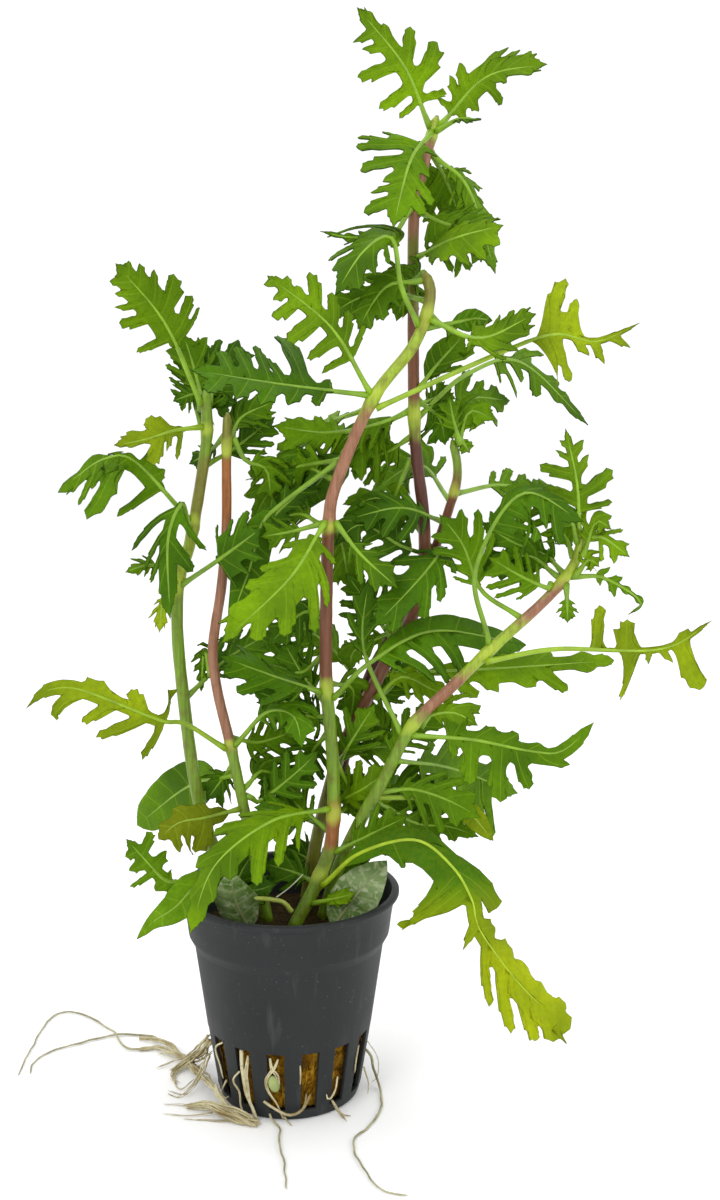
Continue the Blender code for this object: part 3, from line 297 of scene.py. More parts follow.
# Small leaves that grow beside the others on the same stems
SMALL_LEAVES = {
    "leaf_small_right": Leaf("tall", 223, [(37, -5, 224), (41, -10, 223)], 1.4, (1, 1.5, 1), SAME, 45, 0.3,
        face=(0, -0.6, 0.9), fold=-10, curl=0),
    "leaf_right_inner": Leaf("front", 182, [(37, -2, 177), (31, 0, 168)], 1.8, (1.5, 2, 1.5), (2, 2.5, 1.5),
        45, 0.2, face=(0, -0.9, 0.4)),
    "leaf_pair_small": Leaf("middle", 154, [(-18, 5, 152), (-23, 8, 149)], 1.2, (2, 3, 2), SAME, 50, 0.2,
        tone="dark", face=(0, -0.9, 0.4), curl=0),
    "leaf_curl_left": Leaf("left", 124, [(-31, -4, 127), (-36, -8, 126)], 1, (2, 2, 1), (3, 3, 1), 50, 0.3,
        face=(0, -0.9, 0.5), fold=-10, curl=0),
    "leaf_hanging_small": Leaf("left", 122, [(-28, -4, 120), (-29, -6, 112)], 1.2, (2, 2, 1), (2, 3, 1), 40,
        0.3, tone="yellow", fold=-10, curl=0),
    "leaf_pale_rib": Leaf("middle", 130, [(-5, 2, 136), (8, 5, 148)], 1.8, (2, 3, 3, 2), SAME, 55, 0.25,
        tone="dark", face=(0, -0.9, 0.4)),
    "leaf_edge_left": Leaf("front", 136, [(2, 2, 138), (-7, 8, 134)], 2, (3, 4, 3, 2), SAME, 55, 0.2,
        face=(0, -0.9, 0.4)),
    "leaf_front_small": Leaf("front", 136, [(16, -10, 130), (24, -14, 123)], 2.2, (3, 3, 2), (3, 4, 3), 50,
        0.2, face=(0, -0.9, 0.4)),
    "leaf_tip_side": Leaf("right", 134, [(69.5, -13, 134), (75, -15, 130)], 1.4, ((6, 4.5, 0.9, 1.5),
        (9, 2.5, 0.7, 5)), ((6.5, 5, 0.8, 1.5), (9, 3.5, 0.8, 6)), 55, 0.15, tone="bright",
        face=(0, -0.9, 0.4)),
    "leaf_tip_down": Leaf("right", 123, [(62, -12, 119), (62, -13, 115)], 1.4, (1.5, 2, 1), SAME, 45, 0.2,
        face=(0, -1, 0.2), curl=0),
    "leaf_tendril": Leaf("right", 126, [(70, -12, 125), (78, -14, 120), (75, -15, 117)], 0.5,
        (3, 2, 0.5, 0.5), (2, 3, 0.5, 0.5), 60, 0.15, curl=0),
    "leaf_pot_small": Leaf("front", 49, [(11, -11, 51), (15, -13, 53)], 1.8, (0.5, 0.8, 0.5), SAME, 45, 0.2,
        tone="bright", face=(0, -0.9, 0.5), curl=-2),
    "leaf_fill_low": Leaf("tall", 62, [(0, -1, 68), (-8, -5, 71)], 3.2, (3, 4, 3, 2), SAME, 55, 0.2,
        tone="dark", face=(0, -0.9, 0.5), fold=-4, curl=-2),
    "leaf_fill_mid": Leaf("tall", 84, [(2, 6, 92), (-9, 7, 96)], 3, (4, 5, 4, 2), SAME, 55, 0.2, tone="dark",
        face=(0, -0.9, 0.5), fold=-4, curl=-2),
    "leaf_fill_back": Leaf("back", 96, [(8, 18, 106), (-4, 22, 112)], 3, (4, 5, 4, 3), SAME, 55, 0.2,
        face=(0, -0.7, 0.7), fold=-4, curl=-2),
    "leaf_fill_cross": Leaf("left", 96, [(-14, 6, 104), (-3, 8, 110)], 2.6, (4, 5, 4, 3), SAME, 55, 0.2,
        tone="dark", face=(0, -0.8, 0.6), fold=-4),
    "leaf_fill_upper": Leaf("left", 150, [(-12, 6, 153), (-3, 10, 160)], 2.2, (4, 5, 4, 3), SAME, 55, 0.2,
        tone="dark", face=(0, -0.8, 0.6), fold=-4),
    "leaf_fill_left": Leaf("left", 158, [(-22.5, 4, 168), (-24.5, 6, 176)], 1.4, (3, 4, 4, 2), SAME, 50, 0.25,
        tone="dark", face=(0, -0.9, 0.4), curl=0),
    "leaf_fill_right": Leaf("right", 78, [(26, -2, 86), (36, 4, 92)], 2.6, (4, 5, 4, 3), SAME, 55, 0.2,
        face=(0, -0.8, 0.6), fold=-4, curl=-2),
    "leaf_fill_pot": Leaf("left", 48, [(-8, -8, 52), (-3, -12, 55)], 3, (1, 2, 1), SAME, 50, 0.2, tone="dark",
        face=(0, -0.8, 0.6), fold=-4, curl=-2),
    "leaf_top_behind": Leaf("tall", 218, [(31, 8, 213), (28.5, 10, 204)], 3, (4, 6, 6, 4), (5, 6, 6, 3), 60,
        0.15, face=(0.1, -1, 0)),
    "leaf_top_hang": Leaf("tall", 217, [(36.5, 5, 210.5), (39, 5, 203)], 3.4, (5, 6, 5, 3), (6, 7, 6, 3), 60,
        0.15, face=(0.1, -1, 0.2), fold=-6),
    "leaf_neck_wide": Leaf("tall", 205, [(35.5, -3, 202), (46, -6, 200.5)], 4, (3, 4, 4, 3, 2), (5, 7, 6, 4),
        (45, 70), 0.1, fold=-4),
    "leaf_neck_tail": Leaf("tall", 204, [(22.5, -4, 199.5), (13.5, -8, 198.5), (7, -10, 199.5)], 0.7,
        (1, 1, 0.5), (1, 2, 0.5), 45, 0.3, fold=-10, curl=0),
    "leaf_neck_back": Leaf("front", 192, [(27, 2, 189.5), (24.5, 4, 181.5)], 3.6, (4, 5, 4, 2), SAME, 50, 0.1,
        face=(0, -1, 0.1), fold=-4),
    "leaf_shoulder_low": Leaf("front", 185, [(21.5, 0, 188), (12.5, -2, 184.5), (9, -3, 180.5)], 2.2,
        (4, 5, 4, 2), SAME, 60, 0.25),
    "leaf_inner_rise": Leaf("tall", 166, [(33, -2, 171.5), (39, -6, 178.5)],
        (0.5, 2.4, 3.6, 3.8, 3.2, 2, 0.4), (), ((14, 4.5), (10, 4.6)), 40, 0.12, fold=-8),
    "leaf_crown_back": Leaf("left", 163, [(-18.5, 6, 167), (-18, 8, 176)], 2.6, (5, 6, 5, 3), SAME, 55, 0.12,
        tone="dark", face=(0, -1, 0.2)),
    "leaf_crown_side": Leaf("left", 162, [(-20.5, 2, 165), (-25.5, -2, 163.5)], 1.6, (3, 3, 2), SAME, 55,
        0.25, tone="dark", curl=0),
    "leaf_middle_top": Leaf("middle", 155, [(-10.5, 6, 160), (-3, 8, 163.5)], 2.8, (4, 5, 4, 2), SAME, 50,
        0.12),
    "leaf_arch_back": Leaf("tall", 159, [(22, 4, 159), (14.5, 4, 156.5), (9.5, 4, 151)], 2.4, (3, 4, 4, 2),
        (), (60, 50), 0.12, face=(0, -0.8, 0.6), fold=-10),
    "leaf_back_reach": Leaf("front", 156, [(7, 4, 156.5), (-3.5, 6, 158)], 3, (4, 7, 7, 4), (1, 1.5, 1.5, 1),
        (60, 50), 0.1, fold=-4),
    "leaf_back_drop": Leaf("front", 146, [(3, 4, 148), (-2, 8, 136)], 1.8, (5, 6, 6, 4), (5, 6, 5, 3), 60,
        0.15, tone="dark", face=(0, -1, 0.2)),
    "leaf_dark_oval": Leaf("front", 153, [(7.5, 8, 145.5), (2, 12, 137)], (0.5, 3.4, 4.8, 5, 4, 2.2, 0.3), (),
        SAME, 40, 0.12, tone="dark", face=(0.2, -1, 0.1)),
    "leaf_cross_upper": Leaf("tall", 155, [(22.5, 6, 152), (12.5, 8, 149)], 2.4, (4, 6, 5, 3), (5, 7, 6, 3),
        60, 0.12, face=(0, -1, 0.2)),
    "leaf_cross_arch": Leaf("back", 130, [(26.5, 6, 139), (19.5, 4, 141.5), (12.5, 2, 137.5)], 2,
        (4, 5, 5, 3), (), (60, 50), 0.15, tone="dark", face=(0, -0.8, 0.6), fold=-8),
    "leaf_cross_long": Leaf("back", 127, [(25.5, 0, 131), (16.5, -2, 136), (10, -3, 131)], 1.5, (6, 7, 6, 4),
        (5, 6, 5, 3), 62, 0.15, tone="dark", face=(0, -1, 0.2)),
    "leaf_inner_thin": Leaf("tall", 107, [(19.5, 0, 115.5), (13, -2, 125)], 1.3, (6, 7, 5, 3), SAME, 60, 0.2,
        tone="dark", face=(0, -1, 0.2)),
    "leaf_stalk_side": Leaf("front", 135, [(0.5, -4, 134.5), (-6.5, -6, 133.5)], 1.5, (3, 4, 3), SAME, 55,
        0.25),
    "leaf_lance": Leaf("front", 148, [(-1, -2, 141), (-6, -4, 136), (-9, -5, 125.5), (-13.5, -6, 113.5)],
        (0.5, 2.8, 4, 4.2, 3.2, 1.8, 0.3), (), SAME, 35, 0.36, tone="dark", face=(0.2, -1, 0.2), fold=-10),
    "leaf_front_under": Leaf("front", 115, [(3, 2, 115), (-5, 4, 107)], 2.2, (5, 6, 4, 2), SAME, 55, 0.12,
        tone="dark", face=(0, -1, 0.2)),
    "leaf_rising_left": Leaf("right", 114, [(43.5, -6, 121.5), (39.5, -4, 131.5), (34, -4, 138.5)], 2.4,
        (4, 6, 6, 4), (5, 7, 7, 4), (58, 60), 0.35, face=(0, -1, 0.2), fold=-4),
    "leaf_arch_mid": Leaf("right", 125, [(58.5, -4, 129), (51, -2, 132), (44, 0, 136.5)], 2.2, (5, 6, 6, 4),
        SAME, 60, 0.12, tone="dark"),
    "leaf_arch_low": Leaf("right", 121, [(57.5, -10, 122.5), (52, -8, 125), (45, -6, 129)], 1.6, (5, 7, 6, 4),
        (4, 5, 5, 3), (62, 60), 0.12, face=(0, -1, 0.2)),
    "leaf_arch_upper": Leaf("right", 133, [(62, -12, 138), (55.5, -10, 143), (47, -8, 144.5)], 2.8,
        (5, 7, 6, 4), (2, 3, 3, 2), (62, 50), 0.12, face=(0, -0.9, 0.5), fold=-6),
    "leaf_under_arch": Leaf("tall", 96, [(26.5, 2, 100), (33, 0, 97.5), (39, -2, 95)], 2.2, (2, 3, 2, 1),
        (3, 4, 3, 2), 50, 0.15, tone="bright", face=(0, -1, 0.4)),
    "leaf_inner_dark": Leaf("tall", 94, [(24, 10, 95), (29.5, 12, 102)], 3.2, (4, 5, 4, 2), SAME, 50, 0.12,
        tone="dark", face=(0, -1, 0.2)),
    "leaf_inner_back": Leaf("back", 82, [(22, 14, 85.5), (15, 16, 92)], 3, (4, 5, 4, 2), SAME, 50, 0.12,
        face=(0, -1, 0.2)),
    "leaf_low_reach": Leaf("middle", 85, [(-6.5, 6, 83.5), (3.5, 10, 86)], 1.8, (5, 6, 4, 2), (5, 6, 5, 3),
        (55, 60), 0.15),
    "leaf_low_fan": Leaf("middle", 74, [(-5.5, 4, 77), (3.5, 4, 70)], 2.2, (5, 6, 5, 3), (4, 6, 5, 3), 60,
        0.12),
    "leaf_low_cross": Leaf("middle", 71, [(-6.5, 0, 71), (2, -2, 78.5), (7, -2, 83.5)], 1.5, (4, 5, 5, 3),
        SAME, 60, 0.15, tone="dark"),
    "leaf_low_rise": Leaf("front", 65, [(0.5, 4, 70), (-6.5, 6, 78.5)], 2, (4, 6, 5, 3), SAME, 60, 0.15,
        face=(0, -1, 0.2)),
    "leaf_front_inner": Leaf("front", 96, [(3, 2, 101), (-1.5, 4, 108.5)], 2.4, (4, 6, 5, 2), SAME, 55, 0.12,
        tone="dark", face=(0, -1, 0.2)),
    "leaf_front_inner_low": Leaf("front", 90, [(4, 6, 90), (-3, 8, 95)], 1.9, (5, 6, 4, 2), SAME, 60, 0.12,
        face=(0, -1, 0.2)),
    "leaf_right_inner_rise": Leaf("tall", 78, [(14.5, 0, 85), (20, -2, 94.5)], 2, (5, 6, 5, 2), SAME, 55,
        0.15, face=(0, -1, 0.2)),
    "leaf_right_inner_fan": Leaf("tall", 68, [(17, -2, 74), (25, -4, 80.5)], 2.4, (4, 6, 5, 2), SAME, 55,
        0.12, tone="bright"),
    "leaf_pot_right": Leaf("front", 61, [(18, -6, 64), (27, -10, 70)], 2.6, (4, 5, 4, 2), (4, 6, 5, 3), 55,
        0.12),
    "leaf_shade_wide": Leaf("right", 69, [(23.5, 4, 69.5), (31.5, 4, 72), (39.5, 2, 69.5)], 3.8, (5, 6, 5, 3),
        (5, 7, 6, 4), (55, 60), 0.12),
    "leaf_shade_low": Leaf("right", 75, [(29, -4, 74.5), (37, -7, 72.5), (44, -9, 69)], 3, (3, 5, 5, 3),
        (4, 6, 6, 3), (50, 60), 0.12),
    "leaf_yellow_drop": Leaf("right", 73, [(34, -2, 71.5), (41.5, -4, 69), (47.5, -6, 62.5)],
        (0.5, 1.2, 2, 2.6, 2.4, 1.6, 0.2), (), SAME, 40, 0.45, tone="yellow"),
    "leaf_pot_back": Leaf("tall", 47, [(5.5, 14, 51), (-1.5, 16, 54.5)], 3.8, (3, 4, 3, 2), SAME, 50, 0.1,
        tone="dark"),
    "leaf_pot_back_right": Leaf("tall", 45, [(13, 12, 50), (19, 14, 54.5)], 3.8, (3, 4, 3, 2), SAME, 50, 0.1,
        tone="dark"),
    "leaf_pot_inner": Leaf("left", 44, [(-12, 0, 51.5), (-8, 2, 58.5)], 3.6, (2, 3, 2), SAME, 50, 0.1,
        tone="dark"),
    "leaf_pot_cross": Leaf("front", 52, [(1.5, 2, 52.5), (-6.5, 4, 54.5)], 3.2, (2, 3, 2), SAME, 50, 0.1,
        tone="dark", face=(0, -1, 0.4)),
    "leaf_crown_low": Leaf("left", 163, [(-16.5, 4, 166.5), (-13.5, 4, 163.5), (-11.5, 4, 163)], 3.4,
        (4, 5, 4, 2), (5, 6, 4, 2), 60, 0.1, tone="dark", face=(0, -1, 0.2)),
    "leaf_crown_top": Leaf("left", 164, [(-18, 8, 170), (-12, 10, 173), (-7.5, 10, 174)], 2.6, (3, 4, 4, 3),
        (4, 5, 4, 3), (65, 60), 0.12, tone="dark", face=(0, -1, 0.2)),
    "leaf_middle_low": Leaf("middle", 153, [(-9.5, 2, 150), (-5, 4, 148), (-4, 5, 141)], 1.4, (4, 5, 5, 3),
        (4, 5, 4, 3), 60, 0.3),
    "leaf_shade_hang": Leaf("front", 149, [(0.5, 6, 148), (-4.5, 8, 142.5), (-9, 8, 135)], 2.2, (4, 6, 6, 4),
        SAME, 60, 0.15, face=(0, -1, 0.2)),
    "leaf_cross_small": Leaf("tall", 148, [(22.5, 6, 138.2), (17, 6, 141), (12.5, 5, 140)], 1.8, (3, 4, 3, 2),
        (2, 3, 3, 2), (62, 60), 0.15),
    "leaf_back_young": Leaf("back", 155, [(41.5, 3, 161.5), (47, 1, 159.5)], 2, (2, 3, 2), (4, 4, 2), 55,
        0.1),
    "leaf_back_bud_left": Leaf("back", 155, [(37.5, 2, 160), (36.5, 2, 165)], 1.6, (4, 4, 2), (2, 3, 2),
        (55, 45), 0.15, face=(0, -1, 0.2)),
    "leaf_back_bud_right": Leaf("back", 155, [(39.5, 2, 155), (41.5, 2, 152)], 1.6, (0.6, 0.6, 0.6), SAME, 40,
        0.12, face=(0, -1, 0.2)),
    "leaf_back_fan": Leaf("tall", 162, [(35, 6, 159.5), (36.5, 8, 153.5)], 2.6, (4, 5, 4, 2), (5, 6, 5, 3),
        55, 0.12, tone="dark", face=(0, -1, 0.2)),
    "leaf_back_fan_high": Leaf("tall", 163, [(34, 7, 164.5), (38, 8, 167.5)], 1.8, (3, 4, 2), SAME, 55, 0.15,
        face=(0, -1, 0.2)),
    "leaf_upper_ovate": Leaf("front", 180, [(38, -8, 181), (40.5, -10, 181.5), (44, -12, 181)],
        (0.4, 1.8, 2.6, 2.6, 2, 1.2, 0.2), (), SAME, 40, 0.3, tone="dark", fold=-6),
    "leaf_tip_fan": Leaf("right", 131, [(68, -12, 137.5), (71, -14, 136)], 1.2, (4, 4, 2), (4, 4, 3, 2), 60,
        0.12, tone="bright", face=(0, -1, 0.2)),
    "leaf_tip_inner": Leaf("right", 130, [(62.5, -6, 133.5), (59.5, -4, 137)], 2.4, (3, 4, 3), (4, 5, 3), 55,
        0.12, face=(0, -1, 0.2)),
    "leaf_tip_low_fan": Leaf("right", 127, [(67, -11, 129), (69, -12, 127.5)], 0.9, (2.5, 2.5, 1.5),
        (3, 3, 2), 60, 0.12, tone="bright", face=(0, -1, 0.2)),
    "leaf_under_inner": Leaf("front", 105, [(2.5, 2, 101), (-5, 4, 102.5), (-11.5, 6, 99.5)], 2.2,
        (4, 5, 4, 2), (4, 6, 5, 3), 60, 0.15, tone="dark"),
    "leaf_side_drop": Leaf("middle", 102, [(-19.5, 2, 106.5), (-20.5, 4, 96)], 0.8, (2, 3, 2, 1), SAME, 50,
        0.15),
    "leaf_inner_lean": Leaf("front", 98, [(15, 4, 96.5), (14.5, 6, 87.5)], 2, (4, 4, 3), (4, 5, 3), 55, 0.12,
        face=(0, -1, 0.2)),
    "leaf_low_shade_left": Leaf("middle", 78, [(-16, 3, 75), (-19.5, 2, 70.5)], 2.6, (3, 4, 3), SAME, 50,
        0.12, tone="dark"),
    "leaf_front_low_left": Leaf("front", 86, [(5.5, 2, 82), (1.5, 4, 72.5)], 2.2, (4, 5, 4, 2), SAME, 60,
        0.12, tone="dark", face=(0, -1, 0.2)),
    "leaf_front_low_right": Leaf("front", 78, [(14.5, 2, 72.5), (16, 2, 65.5)], 2.2, (4, 5, 4, 2), SAME, 60,
        0.12, face=(0, -1, 0.2)),
    "leaf_cross_right_low": Leaf("tall", 80, [(19.5, 2, 83), (26, 0, 83.5)], 2.2, (3, 4, 3), (4, 5, 4), 55,
        0.12),
    "leaf_shade_fringe": Leaf("right", 72, [(30, 2, 64.5), (38, 2, 63.5), (45, 0, 61.5)], 2, (4, 4, 4, 2),
        (3, 4, 4, 2), (50, 60), 0.2),
    "leaf_crown_join": Leaf("left", 164, [(-21.5, 4, 172), (-23.5, 3, 178.5)], 3.2, (3, 4, 3), SAME, 55, 0.1,
        face=(0, -1, 0.2)),
    "leaf_spray_top": Leaf("right", 92, [(32, -8, 93), (37.5, -10, 94), (42.5, -12, 91.5)], 2.6, (3, 4, 3),
        SAME, 50, 0.15, tone="bright"),
    "leaf_front_side": Leaf("front", 136, [(12.5, 2, 130), (14, 3, 120.5)], 2.8, (3, 4, 4, 3), SAME, 50, 0.12,
        face=(0, -1, 0.2)),
    "leaf_side_low": Leaf("tall", 109, [(15.5, 4, 106), (14.5, 5, 100.5)], 2.2, (2, 3, 2), SAME, 50, 0.12,
        face=(0, -1, 0.2)),
}

# radii: at the slot and at the tip. The strands lie on the surface that the pot stands on
Root = namedtuple("Root", "radii route")
LONG_ROOTS = {
    "root_left_near": Root((0.3, 0.17), [
        (-33.5, 22, 0.9), (-35.5, 25, 0.6), (-39.5, 26.5, 0.5), (-44, 27, 0.5), (-48, 25.5, 0.5),
        (-53, 23, 0.5), (-58.5, 20, 0.4), (-62, 16.5, 0.4), (-63.8, 12.5, 0.4), (-63.6, 7.5, 0.3)]),
    "root_left_far": Root((0.3, 0.16), [
        (-33, 19, 0.9), (-34.5, 19.5, 0.6), (-39, 18.5, 0.5), (-42.5, 20.5, 0.8), (-45.5, 26.2, 1.6),
        (-48.5, 31, 0.8), (-52.5, 36.5, 0.5), (-57.5, 40.3, 0.4), (-61.6, 40.5, 0.4), (-64, 36, 0.4),
        (-65.2, 27, 0.4), (-65.8, 17, 0.4), (-66.4, 7, 0.3)]),
    "root_right": Root((0.32, 0.17), [
        (18.2, -0.5, 9), (19.6, -0.8, 7), (20.6, -1.2, 3.2), (21.4, -3.5, 0.8), (21.6, -8, 0.5),
        (20.8, -14, 0.5), (17.6, -21.5, 0.4), (14.6, -25.5, 0.4), (14.2, -31, 0.4), (16.3, -39, 0.4),
        (19.2, -46, 0.4), (24.5, -47.8, 0.3)]),
    "root_front": Root((0.28, 0.16), [
        (-4.6, -16.4, 1.6), (-4, -17.8, 0.6), (-2.3, -21, 0.5), (-2.4, -26, 0.5), (-1.5, -33, 0.4),
        (-1.2, -38.5, 0.4), (-0.8, -44.5, 0.3)]),
}

# Roots that run side by side. spread: how far they part in the middle. radii: at the start and at the end
Bundle = namedtuple("Bundle", "count spread radii route")
TUFTS = {
    "root_mat_left": [
        Bundle(3, 0.7, (0.3, 0.4), [(-38.5, 24.5, 0.6), (-33, 22, 1), (-29, 17, 1.4), (-26, 11, 1.8),
            (-22, 5, 6)]),
        Bundle(3, 0.7, (0.3, 0.4), [(-38, 18, 0.6), (-33, 18.5, 1), (-29, 14, 1.3), (-25, 10, 2),
            (-20.5, 3, 8)]),
        Bundle(9, 1.3, (0.5, 0.16), [(-19.5, -1, 12), (-22, 5, 6), (-25.5, 8, 2.2), (-29, 6, 0.8)]),
        Bundle(4, 0.8, (0.24, 0.07), [(-19.5, -0.5, 13), (-24.5, 7.5, 4), (-29, 10, 1), (-33, 8.5, 0.4)]),
        Bundle(7, 1.1, (0.4, 0.2), [(-25, 9, 2), (-21.5, 1, 3.4), (-19, -6, 4.4), (-17.4, -9, 4)]),
        Bundle(4, 0.6, (0.3, 0.1), [(-24, 9, 2), (-27, 9, 1), (-29, 4, 0.7), (-27, 1, 0.4)]),
        Bundle(1, 0.2, (0.2, 0.12), [(-27.5, 6.5, 0.8), (-28, 1.5, 0.4), (-26, -2, 0.4), (-23, 1.7, 1)]),
        Bundle(6, 2, (0.16, 0.06), [(-19.5, 0, 9), (-23, 6, 3), (-28, 13, 1), (-33, 16, 0.4)]),
        Bundle(5, 1.6, (0.18, 0.07), [(-19, -2, 9), (-21.5, -2, 3), (-25, -5, 0.8), (-29, -3, 0.4)]),
    ],
    "root_mat_low": [
        Bundle(12, 1.5, (0.16, 0.42), [(-24, -10.5, 0.8), (-19.5, -12.5, 2.2), (-15.5, -15.4, 2.6),
            (-11, -17.6, 1.4), (-7.5, -18.8, 0.5)]),
        Bundle(7, 0.9, (0.36, 0.2), [(-17.2, -9.5, 5), (-16, -12.5, 3.6), (-12, -16.2, 1.6),
            (-8.5, -18, 0.6)]),
        Bundle(2, 0.5, (0.16, 0.05), [(-20, -12, 1), (-25, -9.5, 0.4), (-29.5, -8.5, 0.3)]),
        Bundle(2, 0.4, (0.16, 0.05), [(-18, -14, 0.8), (-24, -14, 0.3), (-29.5, -13, 0.3)]),
        Bundle(2, 0.3, (0.16, 0.05), [(-13, -17, 0.5), (-18, -16.4, 0.3), (-24.5, -15.5, 0.3)]),
    ],
}

# The roots that show in the slots and round the foot
SLOT_ROOTS = [
    Bundle(1, 0, (0.26, 0.2), [(-15.5, -12, 17), (-17.3, -8.6, 14), (-16.2, -9.8, 10.5),
        (-15.4, -10.8, 7.5)]),
    Bundle(1, 0, (0.22, 0.18), [(-14.7, -11.7, 7.5), (-15.9, -9.4, 3.8), (-15.1, -9.9, 2.2),
        (-14.2, -11.3, 3.4)]),
    Bundle(3, 0.3, (0.5, 0.4), [(-11, -16, 17), (-11, -15.7, 13), (-10.2, -15.6, 7), (-8.6, -16, 2.7),
        (-7.5, -17.4, 0.6)]),
    Bundle(2, 0.3, (0.3, 0.24), [(-9.5, -16.5, 16), (-10, -15.8, 12), (-9.6, -15.9, 7.5), (-8.8, -16, 3)]),
    Bundle(1, 0, (0.26, 0.22), [(-11.5, -15.2, 11.5), (-13, -14.4, 9), (-11.6, -14.9, 6.5),
        (-11.2, -14.5, 2.3), (-10, -16.8, 0.4)]),
    Bundle(2, 0.3, (0.28, 0.2), [(-4.5, -18.3, 16), (-4, -18.3, 13.5), (-2.9, -18.2, 11.5),
        (-2.6, -17.6, 8)]),
    Bundle(2, 0.3, (0.26, 0.24), [(-2.7, -18.8, 16), (-3.5, -18.4, 14), (-5.2, -17.8, 11), (-5, -17.8, 8),
        (-3, -17.8, 4.5), (-1.4, -17.2, 0.5)]),
    Bundle(2, 0.25, (0.36, 0.34), [(-6, -17.2, 5), (-3, -18.2, 3.4), (0, -18.4, 2.2), (2.8, -18.2, 3.4),
        (4.6, -17.4, 6.6)]),
    Bundle(1, 0, (0.26, 0.2), [(2.8, -18.2, 3.4), (3.6, -18, 5), (3.8, -17.6, 7)]),
    Bundle(1, 0, (0.24, 0.2), [(2.2, -18.9, 16), (2.5, -18.6, 12), (2.4, -18, 9)]),
    Bundle(2, 0.2, (0.3, 0.26), [(11, -14.8, 9.5), (10.5, -15.2, 6.5), (9, -16.2, 4.6), (8.4, -16, 6)]),
    Bundle(2, 0.4, (0.3, 0.12), [(9.6, -15.2, 4), (11.6, -15.4, 0.9), (13, -18.5, 0.4)]),
    Bundle(1, 0, (0.24, 0.1), [(10.4, -14.6, 2.6), (12, -15.6, 0.7), (14, -16, 0.4)]),
    Bundle(1, 0, (0.22, 0.18), [(16, -10.6, 15), (15.6, -10.8, 12), (15.1, -10.4, 8)]),
    Bundle(1, 0, (0.12, 0.08), [(18.3, -5, 13.5), (21, -3, 8), (21, -2.5, 3), (19.5, -3, 1.6)]),
    Bundle(1, 0, (0.2, 0.12), [(17.6, -5.6, 7), (18.6, -6, 3.4), (18.4, -7, 1)]),
    Bundle(1, 0, (0.22, 0.12), [(-1.4, -16.8, 1.2), (-0.2, -18.6, 0.4), (0.6, -19.6, 0.3)]),
]

# Loose bits on the wool in the pot: the radii and the line of each
CUT_STALK = ((0.62, 0.5), [(0.5, -11, 48), (-1.4, -12, 50.6), (-4.5, -12.6, 51.6), (-8, -12.8, 52)])
THREAD_ROOT = ((0.16, 0.12), [(-3, -12, 51.8), (0.2, -10, 53.5), (3.2, -8, 55.8)])
# The bud in a slot: its middle, half its width, depth and height, and how far it leans
BUD_PLACE = (-3.6, -17.6, 9.6)
BUD_SIZE = (1.35, 0.945, 2.1)
BUD_LEAN = math.radians(-16)

# The camera's place in metres, how far it tips down, rolls and turns, and its lens in millimetres
CAMERA_PLACE = (0, -0.3067, 0.1633)
CAMERA_PITCH, CAMERA_ROLL, CAMERA_YAW = math.radians(8.32), math.radians(0.30), math.radians(3.06)
CAMERA_LENS = 40.5
# What the lamps point at, and each lamp's setting for its power, its place and its width, in metres
LAMP_AIM = Vector((0.01, 0, 0.12))
LAMPS = {"key_light": ("key", (-0.55, -0.75, 0.85), 0.6),
         "fill_light": ("fill", (0.8, -0.35, 0.5), 0.8),
         "top_light": ("fill", (0.05, 0.25, 1.0), 0.7)}


def length_setting(name, description, default, low, high):
    """A length that a user can change, in millimetres."""
    return bpy.props.FloatProperty(name=name, description=description, default=default * MM, min=low * MM,
                                   max=high * MM, unit="LENGTH")


def colour_setting(name, description, *shade):
    """A colour that a user can change, given as it looks."""
    return bpy.props.FloatVectorProperty(name=name, description=description, default=tint(*shade), size=3,
                                         subtype="COLOR", min=0, max=1)


def light_setting(name, description, default):
    """A lamp's power that a user can change."""
    return bpy.props.FloatProperty(name=name, description=description, default=default, min=0, max=50,
                                   unit="POWER")


class PotSettings(bpy.types.PropertyGroup):
    """What a user can change of the pot and of its plug"""
    wall: length_setting("Wall", "Thickness of the pot's plastic", 0.9, 0.4, 1.1)
    plastic: colour_setting("Plastic", "Colour of the moulded plastic", 38, 41, 41)
    wool: colour_setting("Mineral wool", "Colour of the plug's fibres", 150, 106, 14)
    fibres: bpy.props.IntProperty(name="Fibres", description="Loose fibres on the plug's side",
                                  default=420, min=0, max=2000)


class PlantSettings(bpy.types.PropertyGroup):
    """What a user can change of the stems and leaves"""
    blade: length_setting("Blade", "Thickness of a leaf's blade", 0.3, 0.15, 0.6)
    ripple: length_setting("Ripple", "How far a blade waves out of its plane", 0.7, 0, 2)
    stalk: length_setting("Stalk", "Radius of a leaf's stalk where it leaves the stem", 0.62, 0.3, 1)
    bright: colour_setting("Bright leaf", "Colour of the young leaves", 112, 160, 2)
    mid: colour_setting("Full leaf", "Colour of the grown leaves", 94, 144, 2)
    # Painted shade: the dark leaf colour is the full green darkened, for the leaves in the plant's shade
    dark: colour_setting("Dark leaf", "Colour of the leaves inside the plant", 72, 122, 1)
    yellow: colour_setting("Yellow leaf", "Colour of the yellow-green leaves", 140, 172, 16)
    # Painted light: the turning leaf's yellow-green stands for light shining through it below the pot's rim
    turning: colour_setting("Turning leaf", "Colour of the leaf that yellows from its tip", 166, 192, 8)
    olive: colour_setting("Olive leaf", "Colour of the ageing leaf over the pot", 104, 126, 4)
    old: colour_setting("Old leaf", "Colour of the withered leaves in the pot", 112, 134, 78)
    veins: colour_setting("Veins", "Colour of the ribs and veins", 156, 190, 44)


class RootSettings(bpy.types.PropertyGroup):
    """What a user can change of the roots"""
    colour: colour_setting("Roots", "Colour of the roots", 198, 190, 152)
    waver: length_setting("Waver", "How far a root strays from its line", 0.35, 0, 1)


